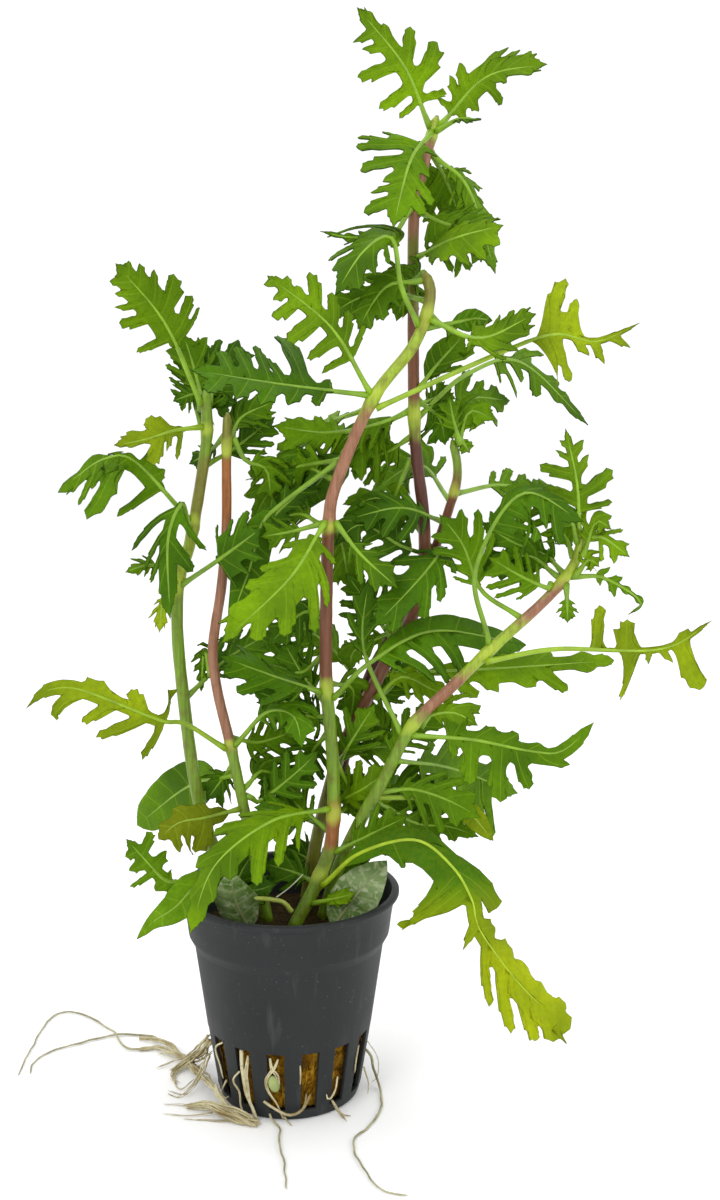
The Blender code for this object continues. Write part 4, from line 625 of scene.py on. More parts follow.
class StudioSettings(bpy.types.PropertyGroup):
    """What a user can change of the floor and the lights"""
    floor: bpy.props.FloatProperty(name="Floor", description="Half the floor's width",
                                   default=3.0, min=0.5, max=10, unit="LENGTH")
    key: light_setting("Key light", "Power of the soft light at the upper left", 4.0)
    fill: light_setting("Fill light", "Power of the soft lights at the right and above", 2.0)
    sky: bpy.props.FloatProperty(name="Surround", description="Brightness of the white surround",
                                 default=1.08, min=0, max=3)


def add_node(tree, kind, values=None, **settings):
    """A shader node with its settings, and its sockets set or joined to others."""
    made = tree.nodes.new(kind)
    for key, value in settings.items():
        setattr(made, key, value)
    for socket, value in (values or {}).items():
        if isinstance(value, bpy.types.NodeSocket):
            tree.links.new(value, made.inputs[socket])
        else:
            made.inputs[socket].default_value = value
    return made


def object_coordinates(tree, scale=(1, 1, 1)):
    """The place on the piece, stretched by a scale, in metres."""
    place = add_node(tree, "ShaderNodeTexCoord").outputs["Object"]
    if scale == (1, 1, 1):
        return place
    return add_node(tree, "ShaderNodeMapping", {"Vector": place, "Scale": scale}).outputs["Vector"]


def grain(tree, place, scale, detail=3.0, distortion=0.0):
    """A soft pattern from 0 to 1, with this many grains to the metre."""
    return add_node(tree, "ShaderNodeTexNoise", {"Vector": place, "Scale": scale, "Detail": detail,
                                                 "Distortion": distortion}).outputs["Fac"]


def cell_edges(tree, place, scale):
    """How far a place is from the edges of a net of cells."""
    return add_node(tree, "ShaderNodeTexVoronoi", {"Vector": place, "Scale": scale},
                    feature="DISTANCE_TO_EDGE").outputs["Distance"]


def stored(tree, name):
    """A value that the blade's mesh carries."""
    return add_node(tree, "ShaderNodeAttribute", attribute_name=name).outputs["Fac"]


def height_of(tree, place):
    """How high a place is."""
    return add_node(tree, "ShaderNodeSeparateXYZ", {"Vector": place}).outputs["Z"]


def combined(tree, operation, *values):
    """The sum, product or other combination of values."""
    return add_node(tree, "ShaderNodeMath", dict(enumerate(values)), operation=operation).outputs[0]


def span(tree, value, low, high, start=0.0, end=1.0):
    """A value between low and high, moved to between start and end."""
    return add_node(tree, "ShaderNodeMapRange", {"Value": value, "From Min": low, "From Max": high,
                                                 "To Min": start, "To Max": end}).outputs["Result"]


def blend(tree, share, first, second, mode="MIX"):
    """A colour between two, or one laid over the other."""
    mixer = add_node(tree, "ShaderNodeMix", data_type="RGBA", blend_type=mode)
    for socket, value in zip((mixer.inputs[0], mixer.inputs[6], mixer.inputs[7]), (share, first, second)):
        if isinstance(value, bpy.types.NodeSocket):
            tree.links.new(value, socket)
        elif isinstance(value, (int, float)):
            socket.default_value = value
        else:
            socket.default_value = (*value, 1.0)
    return mixer.outputs[2]


def marked(tree, skin, pattern, low, high, share, colour):
    """A skin with a colour laid over it, from none where the pattern is low to a share where it is high."""
    return blend(tree, span(tree, pattern, low, high, 0.0, share), skin, colour)


def new_finish(name, roughness, specular):
    """A material with its shader's even values set."""
    material = bpy.data.materials.new(name)
    material.use_nodes = True
    shader = material.node_tree.nodes["Principled BSDF"]
    shader.inputs["Roughness"].default_value = roughness
    shader.inputs["Specular IOR Level"].default_value = specular
    return material, material.node_tree, shader


def dress(tree, shader, colour, height, strength, depth):
    """Joins a colour, and a bump with its depth in millimetres, to the shader."""
    tree.links.new(colour, shader.inputs["Base Color"])
    bump = add_node(tree, "ShaderNodeBump", {"Height": height, "Strength": strength, "Distance": depth * MM})
    tree.links.new(bump.outputs["Normal"], shader.inputs["Normal"])


def darker(colour, share):
    """A colour dimmed to a share of itself, or lit past one."""
    return tuple(c * share for c in colour)


# The heights in metres between which the hanging leaf turns from dark green above, painted shade, to its
# yellow-green below, painted light shining through it
SHADE_TO_LIT_BAND = (0.044, 0.06)
# How a blade tints the light that comes through it, and how much of it does
THROUGH_LEAF = (1.0, 1.0, 0.1)
THROUGH_SHARE = 0.3


def leaf_finish(name, colour, veins, under, foot=None):
    """A leaf's skin: green in broad patches, partly its own tones, partly painted highlights and shade, with
    paler veins and a hem darkened as painted shade. Its lower side is duller. With a foot's colour it turns
    from that, above the pot's rim, to its own below."""
    material, tree, shader = new_finish(name, *((0.66, 0.06) if under else (0.52, 0.12)))
    place = object_coordinates(tree)
    # Broad patches between a darker and a paler, yellower green: partly the leaves' own varied tone, partly
    # painted highlights and painted shade
    tone_and_painted_light = span(tree, grain(tree, place, 55, 2), 0.32, 0.68)
    fine = span(tree, grain(tree, place, 900, 3), 0.35, 0.7)
    light = (colour[0] * 1.5, colour[1] * 1.25, colour[2])
    if under:
        colour = tuple(0.84 * c + 0.008 for c in colour)
        light = tuple(0.88 * c + 0.012 for c in light)
    skin = blend(tree, tone_and_painted_light, darker(colour, 0.55), light)
    if foot:
        green = blend(tree, tone_and_painted_light, darker(foot, 0.6), darker(foot, 1.15))
        skin = marked(tree, skin, height_of(tree, place), *SHADE_TO_LIT_BAND, 1.0, green)
    skin = marked(tree, skin, fine, 0, 1, 0.32, darker(colour, 0.45))
    skin = blend(tree, span(tree, stored(tree, "vein"), 0.03, 0.18, 0.3, 0.0), skin, veins)
    # Painted shade: the hem is darkened into a dark outline along the blade's edge
    skin = marked(tree, skin, stored(tree, "hem"), 0.2, 1.0, 0.75, darker(colour, 0.3))
    dress(tree, shader, skin, span(tree, cell_edges(tree, place, 950), 0, 0.25), 0.22, 0.2)
    through = add_node(tree, "ShaderNodeBsdfTranslucent")
    tree.links.new(blend(tree, 1.0, skin, THROUGH_LEAF, "MULTIPLY"), through.inputs["Color"])
    both = add_node(tree, "ShaderNodeMixShader", {"Fac": THROUGH_SHARE})
    tree.links.new(shader.outputs["BSDF"], both.inputs[1])
    tree.links.new(through.outputs["BSDF"], both.inputs[2])
    tree.links.new(both.outputs["Shader"], tree.nodes["Material Output"].inputs["Surface"])
    return material


def old_leaf_finish(name, colour):
    """A withered leaf's skin: grey green with a net of pale veins and dark wet patches."""
    material, tree, shader = new_finish(name, 0.5, 0.4)
    place = object_coordinates(tree)
    patches = span(tree, grain(tree, place, 130, 5, 0.4), 0.42, 0.62)
    skin = blend(tree, patches, colour, tint(70, 104, 20))
    skin = marked(tree, skin, grain(tree, place, 620, 5, 0.6), 0.5, 0.66, 0.75, tint(168, 178, 140))
    skin = blend(tree, span(tree, stored(tree, "vein"), 0.05, 0.3, 0.5, 0.0), skin, tint(150, 165, 110))
    dress(tree, shader, skin, cell_edges(tree, place, 900), 0.5, 0.4)
    return material


def rib_finish(name, colour):
    """Stalks and midribs: pale green with fine lengthwise streaks."""
    material, tree, shader = new_finish(name, 0.4, 0.45)
    streak = span(tree, grain(tree, object_coordinates(tree), 260, 3), 0.35, 0.65)
    dress(tree, shader, blend(tree, streak, darker(colour, 0.72), colour), streak, 0.15, 0.2)
    return material


# The bark's bands: the height where the last one ends, how softly they meet and how far their edges stray
BANDS_END = 260.0
BAND_FADE = 1.5
BAND_WAVER = 2.0
BARK_STREAK = (0.62, 0.5, 0.35)


def stem_finish(name, stem):
    """A stem's bark: its bands of colour by height, with paler rings at the joints and fine streaks."""
    material, tree, shader = new_finish(name, 0.42, 0.45)
    place = object_coordinates(tree)
    waver = span(tree, grain(tree, place, 120, 2), 0.3, 0.7, -BAND_WAVER * MM, BAND_WAVER * MM)
    height = combined(tree, "ADD", height_of(tree, place), waver)
    ramp = add_node(tree, "ShaderNodeValToRGB", {"Fac": span(tree, height, 0, BANDS_END * MM)})
    stops = []
    for (low, shade), (high, _) in zip(stem.bands, [*stem.bands[1:], (BANDS_END, None)]):
        stops += [(low + BAND_FADE, shade), (high - BAND_FADE, shade)]
    elements = ramp.color_ramp.elements
    for k, (level, shade) in enumerate(stops):
        stop = elements[k] if k < 2 else elements.new(1.0)
        stop.position = level / BANDS_END
        stop.color = (*tint(*shade), 1.0)
    streaks = span(tree, grain(tree, object_coordinates(tree, (1, 1, 0.05)), 1500, 2), 0.35, 0.7)
    skin = blend(tree, span(tree, streaks, 0, 1, 0.0, 0.8), ramp.outputs["Color"], BARK_STREAK, "MULTIPLY")
    skin = marked(tree, skin, grain(tree, place, 420, 4), 0.5, 0.75, 0.5, tint(96, 60, 24))
    for joint in stem.nodes:
        away = combined(tree, "ABSOLUTE", combined(tree, "SUBTRACT", height, joint * MM))
        skin = blend(tree, span(tree, away, 0.5 * MM, 2.4 * MM, 0.7, 0.0), skin, tint(168, 186, 52))
    dress(tree, shader, skin, streaks, 0.35, 0.2)
    return material


def plastic_finish(colour):
    """The pot's plastic: dark grey, faintly grained by its mould, with dust, pale scuffs and specks."""
    material, tree, shader = new_finish("pot_plastic", 0.55, 0.2)
    place = object_coordinates(tree)
    cloud = span(tree, grain(tree, place, 40, 4, 0.3), 0.35, 0.7)
    skin = blend(tree, cloud, darker(colour, 0.82), darker(colour, 1.2))
    scuffs = grain(tree, object_coordinates(tree, (1, 1, 0.12)), 420, 3)
    skin = marked(tree, skin, scuffs, 0.6, 0.8, 0.14, tint(112, 116, 116))
    skin = marked(tree, skin, grain(tree, place, 1900, 2), 0.7, 0.78, 0.4, tint(128, 130, 126))
    cells = add_node(tree, "ShaderNodeTexVoronoi", {"Vector": place, "Scale": 210})
    specks = combined(tree, "MULTIPLY", span(tree, cells.outputs["Distance"], 0.05, 0.09, 0.8, 0.0),
                      span(tree, cells.outputs["Color"], 0.86, 0.88))
    skin = blend(tree, specks, skin, tint(160, 160, 152))
    tree.links.new(span(tree, cloud, 0, 1, 0.46, 0.64), shader.inputs["Roughness"])
    dress(tree, shader, skin, grain(tree, place, 1400, 3), 0.12, 0.2)
    return material


def wool_finish(colour):
    """Mineral wool: ochre, matted, with pale and dark brown fibres, and painted shade that turns it nearly
    black above the slots, inside the pot's closed wall.
    """
    material, tree, shader = new_finish("mineral_wool", 0.95, 0.1)
    place = object_coordinates(tree)
    matted = grain(tree, place, 520, 6, 1.2)
    fibres = grain(tree, object_coordinates(tree, (1, 1, 0.2)), 900, 4, 0.8)
    skin = blend(tree, span(tree, matted, 0.38, 0.62), darker(colour, 0.28), colour)
    skin = marked(tree, skin, fibres, 0.52, 0.66, 0.7, tint(190, 150, 50))
    skin = marked(tree, skin, grain(tree, place, 110, 3), 0.52, 0.68, 0.8, tint(74, 46, 14))
    # Painted shade: from 20 mm up the plug darkens towards black, where the pot's closed wall keeps the light
    # out
    skin = marked(tree, skin, height_of(tree, place), 20 * MM, 30 * MM, 0.92, tint(22, 20, 8))
    dress(tree, shader, skin, matted, 0.9, 0.8)
    return material


def root_finish(name, colour, brown):
    """A root's skin: cream, browner and darker in places."""
    material, tree, shader = new_finish(name, 0.6, 0.35)
    place = object_coordinates(tree)
    skin = marked(tree, colour, grain(tree, place, 160, 4), 0.4, 0.68, 1.0, brown)
    skin = marked(tree, skin, grain(tree, place, 1100, 2), 0.5, 0.75, 0.5, darker(brown, 0.6))
    dress(tree, shader, skin, grain(tree, place, 1600, 2), 0.3, 0.1)
    return material


def smooth_line(points, steps):
    """Points on a smooth curve through the given ones, with this many steps from each to the next."""
    corners = [Vector(p) for p in points]
    before = corners[0] * 2 - corners[1]
    after = corners[-1] * 2 - corners[-2]
    knots = [before, *corners, after]
    line = []
    for a, b, c, d in zip(knots, knots[1:], knots[2:], knots[3:]):
        for i in range(steps):
            t = i / steps
            line.append(0.5 * (2 * b + (c - a) * t + (2 * a - 5 * b + 4 * c - d) * t ** 2
                               + (3 * b - a - 3 * c + d) * t ** 3))
    line.append(corners[-1])
    return line


class Rib:
    """A smooth line that is read by the distance along it, and runs on straight past its ends."""

    def __init__(self, points):
        self.line = smooth_line(points, 12)
        self.reach = [0.0]
        for a, b in zip(self.line, self.line[1:]):
            self.reach.append(self.reach[-1] + (b - a).length)
        self.length = self.reach[-1]

    def at(self, distance):
        """The point at a distance along the line, and the line's direction there."""
        inside = min(max(distance, 0.0), self.length)
        last = len(self.line) - 2
        i = min(bisect_right(self.reach, inside) - 1, last)
        share = (inside - self.reach[i]) / (self.reach[i + 1] - self.reach[i])
        ahead = self.line[min(i + 2, last + 1)] - self.line[i]
        behind = self.line[i + 1] - self.line[max(i - 1, 0)]
        direction = behind.lerp(ahead, share).normalized()
        return self.line[i].lerp(self.line[i + 1], share) + direction * (distance - inside), direction

    def at_height(self, height):
        """The distance along the line at which it first reaches a height."""
        i = next(k for k, p in enumerate(self.line) if p.z >= height or k == len(self.line) - 1)
        return self.reach[i]


def swelling(stem, height):
    """How many times thicker a stem is at a height, because of its joints."""
    near = min((abs(height - joint) for joint in stem.nodes), default=NODE_REACH)
    return 1 + (NODE_SWELL - 1) * max(0.0, 1 - near / NODE_REACH)


def leaf_rib(leaf):
    """The line of a leaf's rib, from the skin of its stem to the leaf's tip."""
    if leaf.stem is None:
        return Rib(leaf.route)
    stem = STEMS[leaf.stem]
    stem_rib = Rib(stem.route)
    reach = stem_rib.at_height(leaf.height)
    core, ahead = stem_rib.at(reach)
    out = Vector(leaf.route[0]) - core
    out = (out - out.dot(ahead) * ahead).normalized()
    foot, tip = CAD_STEM_RADII[leaf.stem]
    radius = (foot + (tip - foot) * reach / stem_rib.length) * swelling(stem, core.z)
    return Rib([core + out * (radius + LEAF_TO_STEM_GAP), *leaf.route])


def web_at(leaf, share):
    """Half the blade's undivided width, by the share of the blade from stalk to tip."""
    inside = min(max(share, 0.0), 1.0)
    if isinstance(leaf.web, tuple):
        place = inside * (len(leaf.web) - 1)
        k = min(int(place), len(leaf.web) - 2)
        return leaf.web[k] + (leaf.web[k + 1] - leaf.web[k]) * (place - k)
    return max(NARROWEST_WEB, leaf.web * math.sin(math.pi * (0.12 + 0.80 * inside)))


# A lobe's outline, from the side near the stalk over its tip to the other: how far out along the lobe, how
# far off its middle in half widths, and whether a sharp corner is there
LONG_LOBE = ((0, -1.05, 0), (0.12, -0.74, 0), (0.34, -0.64, 0), (0.54, -0.84, 0), (0.64, -1.15, 1),
             (0.67, -0.74, 0), (0.82, -0.7, 0), (0.9, -0.72, 1), (0.91, -0.36, 0), (1, 0, 1), (0.94, 0.34, 0),
             (0.86, 0.74, 1), (0.79, 0.5, 0), (0.52, 0.76, 0), (0.26, 0.62, 0), (0.1, 0.74, 0), (0, 1.05, 0))
SHORT_LOBE = ((0, -1.05, 0), (0.3, -0.76, 0), (0.6, -0.88, 1), (0.64, -0.5, 0), (1, 0, 1), (0.86, 0.34, 0),
              (0.5, 0.66, 0), (0.2, 0.78, 0), (0, 1.05, 0))
TOOTH = ((0, -1, 0), (0.55, -0.62, 0), (1, 0, 1), (0.5, 0.5, 0), (0, 1, 0))
# Half the width that a lobe and a tooth can have, and how far a long lobe and a short one stand out at least
LOBE_HALF_WIDTH = 1.9
TOOTH_HALF_WIDTH = 3.4
LONG_REACH = 4.5
SHORT_REACH = 1.8
# The least distance from one lobe's start on the rib to the next, the share of its angle to the rib that a
# lobe at the tip has lost, and the steepest angle in degrees at which a lobe's vein starts
LOBE_PITCH = 1.1
ANGLE_LOSS = 0.3
STEEPEST = 78
# The blunt tip past the last lobe: shares of the way to it and of the width, and its sharp corners
TIP_OUTLINE = ((0.2, 0.92, 0), (0.4, 0.86, 1), (0.45, 0.62, 0), (0.66, 0.46, 1), (0.71, 0.28, 0),
               (1.0, 0.0, 1))


def lobe_tips(leaf, lobes, sweep, length):
    """Each lobe's place on the rib, its tip and its share of the usual width."""
    stalk = leaf.stalk * length
    tips = []
    for k, lobe in enumerate(lobes):
        if isinstance(lobe, tuple):
            along, out, *rest = lobe
        else:
            share = (k + 0.5) / (len(lobes) + 0.9)
            angle = math.radians(sweep * (1 - ANGLE_LOSS * k / len(lobes)))
            along = stalk + (length - stalk) * share + math.cos(angle) * lobe
            out = web_at(leaf, share) + math.sin(angle) * lobe
            rest = []
        angle = math.radians(min(sweep, STEEPEST) * (1 - ANGLE_LOSS * along / length))
        slim, root = (*rest, *(1.0, along - out / math.tan(angle))[len(rest):])
        tips.append([root, along, out, slim])
    tips.sort()
    floor = stalk + 0.8
    for k, tip in enumerate(tips):
        tip[0] = min(max(tip[0], floor), length - LOBE_PITCH * (len(tips) - k))
        floor = tip[0] + LOBE_PITCH
    return tips


def smooth_rows(leaf, stalk, blade):
    """The outline of a half without lobes, with side veins that lean towards the tip."""
    rows = [((stalk, FOOT_HALF_WIDTH, stalk, FAR_FROM_VEIN, FAR_FROM_VEIN), 1)]
    steps = 12
    for k in range(1, steps):
        place = stalk + blade * k / steps
        width = web_at(leaf, k / steps)
        aside = 0.0 if k % 2 else blade / steps * 0.7
        rows.append(((place, width, max(stalk, place - 0.5 * width), aside, aside), 0))
    rows.append(((stalk + blade, 0.0, stalk + blade, FAR_FROM_VEIN, FAR_FROM_VEIN), 1))
    return rows


def sinus_widths(leaf, tips, length):
    """How far from the rib the margin is before the first lobe, between each two and past the last."""
    stalk = leaf.stalk * length
    blade = length - stalk
    sinuses = [0.7 * web_at(leaf, 0.5 * (tips[0][0] - stalk) / blade)]
    for (root, _, out, _), (following, _, beyond, _) in zip(tips, tips[1:]):
        low = min(out, beyond)
        web = web_at(leaf, ((root + following) / 2 - stalk) / blade)
        sinuses.append(min(max(web, low - 1.7 * (following - root)), 0.88 * low))
    root, _, out, _ = tips[-1]
    web = web_at(leaf, (root + 0.3 * (length - root) - stalk) / blade)
    return [*sinuses, min(web, 0.8 * out, 0.36 * (length - root))]


def lobe_rows(tip, gaps, sinuses, chance):
    """One lobe's outline, between the gaps to its neighbours and the sinuses on both its sides."""
    root, along, out, slim = tip
    angle = math.atan2(out, along - root)
    lean = math.sin(angle)
    reach = (out - min(sinuses)) / lean
    shape = LONG_LOBE if reach > LONG_REACH else SHORT_LOBE if reach > SHORT_REACH else TOOTH
    widest = LOBE_HALF_WIDTH if reach > SHORT_REACH else TOOTH_HALF_WIDTH
    widths = [max(NARROWEST_LOBE, min(widest, 0.4 * gap * lean) * slim) for gap in gaps]
    middle = next(i for i, point in enumerate(shape) if point[0] == 1)
    rows = []
    for i, (share, aside, corner) in enumerate(shape):
        far = i > middle
        width = widths[far]
        if 0 < share < 1:
            share += chance.uniform(-0.035, 0.035)
            aside *= chance.uniform(0.88, 1.12)
        level = sinuses[far] + (out - sinuses[far]) * share
        base = Vector((along - (out - level) / math.tan(angle), level))
        across = Vector((1 / lean, 0)).lerp(Vector((lean, -math.cos(angle))), share) * aside * width
        step = (i - middle) / (len(shape) - 1 - middle if far else middle)
        start = root + step * 0.46 * gaps[far]
        aside_at_rib = abs(step) * 0.46 * gaps[far] * lean
        rows.append(((*(base + across), start, abs(aside) * width, aside_at_rib), corner))
    return rows


def margin_rows(leaf, lobes, sweep, length, chance):
    """One half's outline from stalk to tip, as rows: the margin's two coordinates, where on the rib the row
    starts, how far the lobe's vein is at the margin and at the rib, and whether a sharp corner is there."""
    stalk = leaf.stalk * length
    tips = lobe_tips(leaf, lobes, sweep, length)
    if not tips:
        return smooth_rows(leaf, stalk, length - stalk)
    places = [stalk, *(tip[0] for tip in tips), length]
    sinuses = sinus_widths(leaf, tips, length)
    before = places[1] - stalk
    rows = [((stalk, FOOT_HALF_WIDTH, stalk, FAR_FROM_VEIN, FAR_FROM_VEIN), 1),
            ((stalk + 0.4 * before, sinuses[0], stalk + 0.3 * before, FAR_FROM_VEIN, FAR_FROM_VEIN), 0)]
    for k, tip in enumerate(tips):
        root, along, out, _ = tip
        rows += lobe_rows(tip, (root - places[k], places[k + 2] - root), sinuses[k:k + 2], chance)
        if k + 1 < len(tips):
            halfway = (root + tips[k + 1][0]) / 2
            angle = max(math.atan2(out, along - root), math.radians(55))
            deepest = sinuses[k + 1]
            rows.append(((halfway + deepest / math.tan(angle), deepest * 0.96, halfway, 2.0, 2.0), 0))
    y0 = sinuses[-1]
    r0 = rows[-1][0][2]
    x0 = max(r0, min(rows[-1][0][0], length - 2.2 * y0))
    blunt = min(0.9, leaf.web[-1] / y0) if isinstance(leaf.web, tuple) else 0.0
    for share, width, corner in TIP_OUTLINE:
        if 0.3 < share < 1:
            width += (1 - width) * blunt
        rows.append(((x0 + (length - x0) * share, y0 * width, r0 + (length - r0) * share, FAR_FROM_VEIN,
                      FAR_FROM_VEIN), corner))
    return rows


def eased(rows, steps=2):
    """The rows on a smooth outline, with the sharp corners kept."""
    line = []
    run = []
    for values, corner in rows:
        run.append(values)
        if corner and len(run) > 1:
            line += smooth_line(run, steps)[:-1]
            run = [values]
    return line + [Vector(rows[-1][0])]


def padded_rows(rows, count):
    """The rows with more put evenly between them, up to a count."""
    rows = list(rows)
    spare = count - len(rows)
    for k in reversed(range(spare)):
        i = min(int((k + 0.5) * (len(rows) - 1) / spare), len(rows) - 2)
        rows.insert(i + 1, (rows[i] + rows[i + 1]) / 2)
    return rows


def rolled_tube(bm, points, radii, sides):
    """A tube through the points, with a radius at each, rolled up from a grid."""
    made = bmesh.ops.create_grid(bm, x_segments=len(points) - 1, y_segments=sides, size=1.0)["verts"]
    frames = []
    side = Vector((0, 0, 1)).cross(points[1] - points[0])
    if side.length < 1e-6:
        side = Vector((1, 0, 0))
    side.normalize()
    for i, point in enumerate(points):
        ahead = (points[min(i + 1, len(points) - 1)] - points[max(i - 1, 0)]).normalized()
        side = (side - side.dot(ahead) * ahead).normalized()
        frames.append((point, side, ahead.cross(side)))
    for vert in made:
        i = round((vert.co.x + 1) / 2 * (len(points) - 1))
        turn = round((vert.co.y + 1) / 2 * sides) % sides * math.tau / sides
        point, side, up = frames[i]
        vert.co = point + (side * math.cos(turn) + up * math.sin(turn)) * radii[i]
    bmesh.ops.remove_doubles(bm, verts=made, dist=1e-5)


def close_and_face(bm):
    """Fills the tubes' open ends and turns every face outwards."""
    bmesh.ops.holes_fill(bm, edges=[e for e in bm.edges if e.is_boundary], sides=0)
    bmesh.ops.recalc_face_normals(bm, faces=bm.faces)


def piece_from(name, bm, finishes, node=None):
    """The finished piece, smooth and in metres, riding with the plant."""
    bmesh.ops.scale(bm, vec=(MM, MM, MM), verts=bm.verts)
    mesh = bpy.data.meshes.new(name)
    bm.to_mesh(mesh)
    bm.free()
    mesh.shade_smooth()
    for finish in finishes:
        mesh.materials.append(finish)
    piece = bpy.data.objects.new(name, mesh)
    bpy.context.scene.collection.objects.link(piece)
    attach(piece, "root")
    if node:
        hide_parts(node)


def facing(leaf, ahead):
    """The way that the blade's upper side looks, square to its rib."""
    face = Vector(leaf.face)
    return (face - face.dot(ahead) * ahead).normalized()


def place_on_leaf(leaf, rib, flat, quilt, turn, ripple):
    """Where a point of the flat leaf goes once the blade is folded, curled and waved."""
    point, ahead = rib.at(flat.x)
    up = facing(leaf, ahead)
    left = up.cross(ahead)
    out = abs(flat.y)
    side = left if flat.y > 0 else -left
    bend = math.radians(leaf.fold + (leaf.curl + turn) * out * 0.5)
    wave = noise.noise(Vector((flat.x * 0.11, flat.y * 0.13, turn * 7.3))) * ripple * min(out / 3.0, 1.5)
    skin = up * math.cos(bend) - side * math.sin(bend)
    across = side * (out * math.cos(bend))
    lifted = up * (out * math.sin(bend) + wave)
    return point + across + lifted + skin * (flat.z + quilt)


def make_blade(bm, leaf, rib, number, thickness, ripple):
    """The leaf's blade in the bmesh: its outline drawn out from the rib, then hemmed, thickened and bent."""
    chance = random.Random(SEED + number)
    sweeps = leaf.sweep if isinstance(leaf.sweep, tuple) else (leaf.sweep, leaf.sweep)
    halves = (leaf.left, leaf.left if leaf.right is SAME else leaf.right)
    left, right = [eased(margin_rows(leaf, lobes, sweep, rib.length, chance))
                   for lobes, sweep in zip(halves, sweeps)]
    count = max(len(left), len(right))
    left, right = padded_rows(left, count), padded_rows(right, count)
    columns = len(COLUMN_SHARES) - 1
    vein = bm.verts.layers.float.new("vein")
    hem = bm.verts.layers.float.new("hem")
    bmesh.ops.create_grid(bm, x_segments=count - 1, y_segments=2 * columns, size=1.0)
    for vert in bm.verts:
        i = round((vert.co.x + 1) / 2 * (count - 1))
        j = round(vert.co.y * columns)
        row = left[i] if j > 0 else right[i]
        share = COLUMN_SHARES[abs(j)]
        if j == 0:
            vert.co = ((left[i][2] + right[i][2]) / 2, 0, 0)
            vert[vein] = min(left[i][4], right[i][4])
        else:
            vert.co = (row[2] + (row[0] - row[2]) * share ** 1.15, math.copysign(row[1] * share, j), 0)
            vert[vein] = row[4] + (row[3] - row[4]) * share
    bmesh.ops.remove_doubles(bm, verts=bm.verts, dist=0.015)
    bmesh.ops.recalc_face_normals(bm, faces=bm.faces)
    if sum(face.normal.z for face in bm.faces) < 0:
        bmesh.ops.reverse_faces(bm, faces=bm.faces)
    bmesh.ops.inset_region(bm, faces=bm.faces[:], thickness=HEM_WIDTH, use_boundary=True,
                           use_even_offset=False)
    for vert in bm.verts:
        vert[hem] = 1.0 if vert.is_boundary else 0.0
    upper = set(bm.faces)
    made = bmesh.ops.extrude_face_region(bm, geom=bm.faces[:], use_keep_orig=True)["geom"]
    lower = {g for g in made if isinstance(g, bmesh.types.BMFace)}
    below = [g for g in made if isinstance(g, bmesh.types.BMVert)]
    bmesh.ops.translate(bm, vec=(0, 0, -thickness), verts=below)
    for face in bm.faces:
        face.material_index = 1 if face in lower else 0
        if face not in lower and face not in upper:
            for vert in face.verts:
                vert[hem] = 1.0
    turn = chance.uniform(-0.8, 0.8)
    for vert in bm.verts:
        quilt = 0.16 * min(vert[vein], 1.4) * min(abs(vert.co.y) / 1.2, 1.0)
        vert.co = place_on_leaf(leaf, rib, vert.co, quilt, turn, ripple)


def make_rib(bm, leaf, rib, thick):
    """The stalk and midrib as one tapering tube, rooted in the stem."""
    start = -STALK_ROOT if leaf.stem else 0.0
    length = rib.length * 0.97
    count = max(8, round(length / 1.6))
    stalk = max(leaf.stalk * rib.length, 1.0)
    radii = []
    points = []
    for i in range(count + 1):
        station = start + (length - start) * i / count
        if station < stalk:
            radius = thick * (1.0 - 0.15 * max(station, 0) / stalk)
            radius *= 1 + 0.35 * max(0.0, 1 - (station - start) / 3.0)
        else:
            radius = thick * (0.72 * max(0.0, 1 - (station - stalk) / (length - stalk)) ** 0.9 + 0.13)
        point, ahead = rib.at(station)
        radii.append(radius)
        points.append(point - facing(leaf, ahead) * RIB_SINK)
    before = set(bm.faces)
    rolled_tube(bm, points, radii, 7)
    for face in bm.faces:
        if face not in before:
            face.material_index = 2


def make_leaf(name, leaf, number, finishes, plant, node):
    """A whole leaf: its blade, and its stalk and rib in one tube, all closed."""
    bm = bmesh.new()
    rib = leaf_rib(leaf)
    make_blade(bm, leaf, rib, number, plant.blade / MM, plant.ripple / MM)
    make_rib(bm, leaf, rib, plant.stalk / MM)
    bm.normal_update()
    ends = [e for e in bm.edges if e.is_boundary]
    for face in bmesh.ops.holes_fill(bm, edges=ends, sides=0)["faces"]:
        face.material_index = 2
    bmesh.ops.recalc_face_normals(bm, faces=bm.faces)
    piece_from(name, bm, finishes, node)


def make_stem(name, stem):
    """A stem as one tube, swollen at its joints and a little uneven."""
    rib = Rib(stem.route)
    foot, tip = stem.radii
    count = round(rib.length / 1.5)
    points = []
    radii = []
    for i in range(count + 1):
        place = rib.at(rib.length * i / count)[0]
        bumpy = 1 + 0.05 * noise.noise(place * 0.35)
        left = (count - i) / count * rib.length
        points.append(place)
        radii.append((foot + (tip - foot) * i / count) * swelling(stem, place.z) * bumpy
                     * min(1.0, 0.3 + (left / 3.5) ** 0.5))
    bm = bmesh.new()
    rolled_tube(bm, points, radii, 14)
    close_and_face(bm)
    piece_from("stem_" + name + "_bark", bm, [stem_finish("bark_" + name, stem)], "stem_" + name)


def add_strand(bm, route, radii, waver, number, pitch, sides):
    """One root: a tube that wavers about its line and tapers."""
    rib = Rib(route)
    count = max(6, round(rib.length / pitch))
    points = []
    sizes = []
    for i in range(count + 1):
        place = rib.at(rib.length * i / count)[0]
        stray = noise.noise_vector(place * 0.28 + Vector((number * 3.1, 0, 0))) * waver * min(1.0, i / 3)
        stray.z *= 0.4
        place = place + stray
        size = radii[0] + (radii[1] - radii[0]) * i / count
        size *= 1 + 0.18 * noise.noise(place * 0.7)
        place.z = max(place.z, size)
        points.append(place)
        sizes.append(size if i < count else size * 0.4)
    rolled_tube(bm, points, sizes, sides)


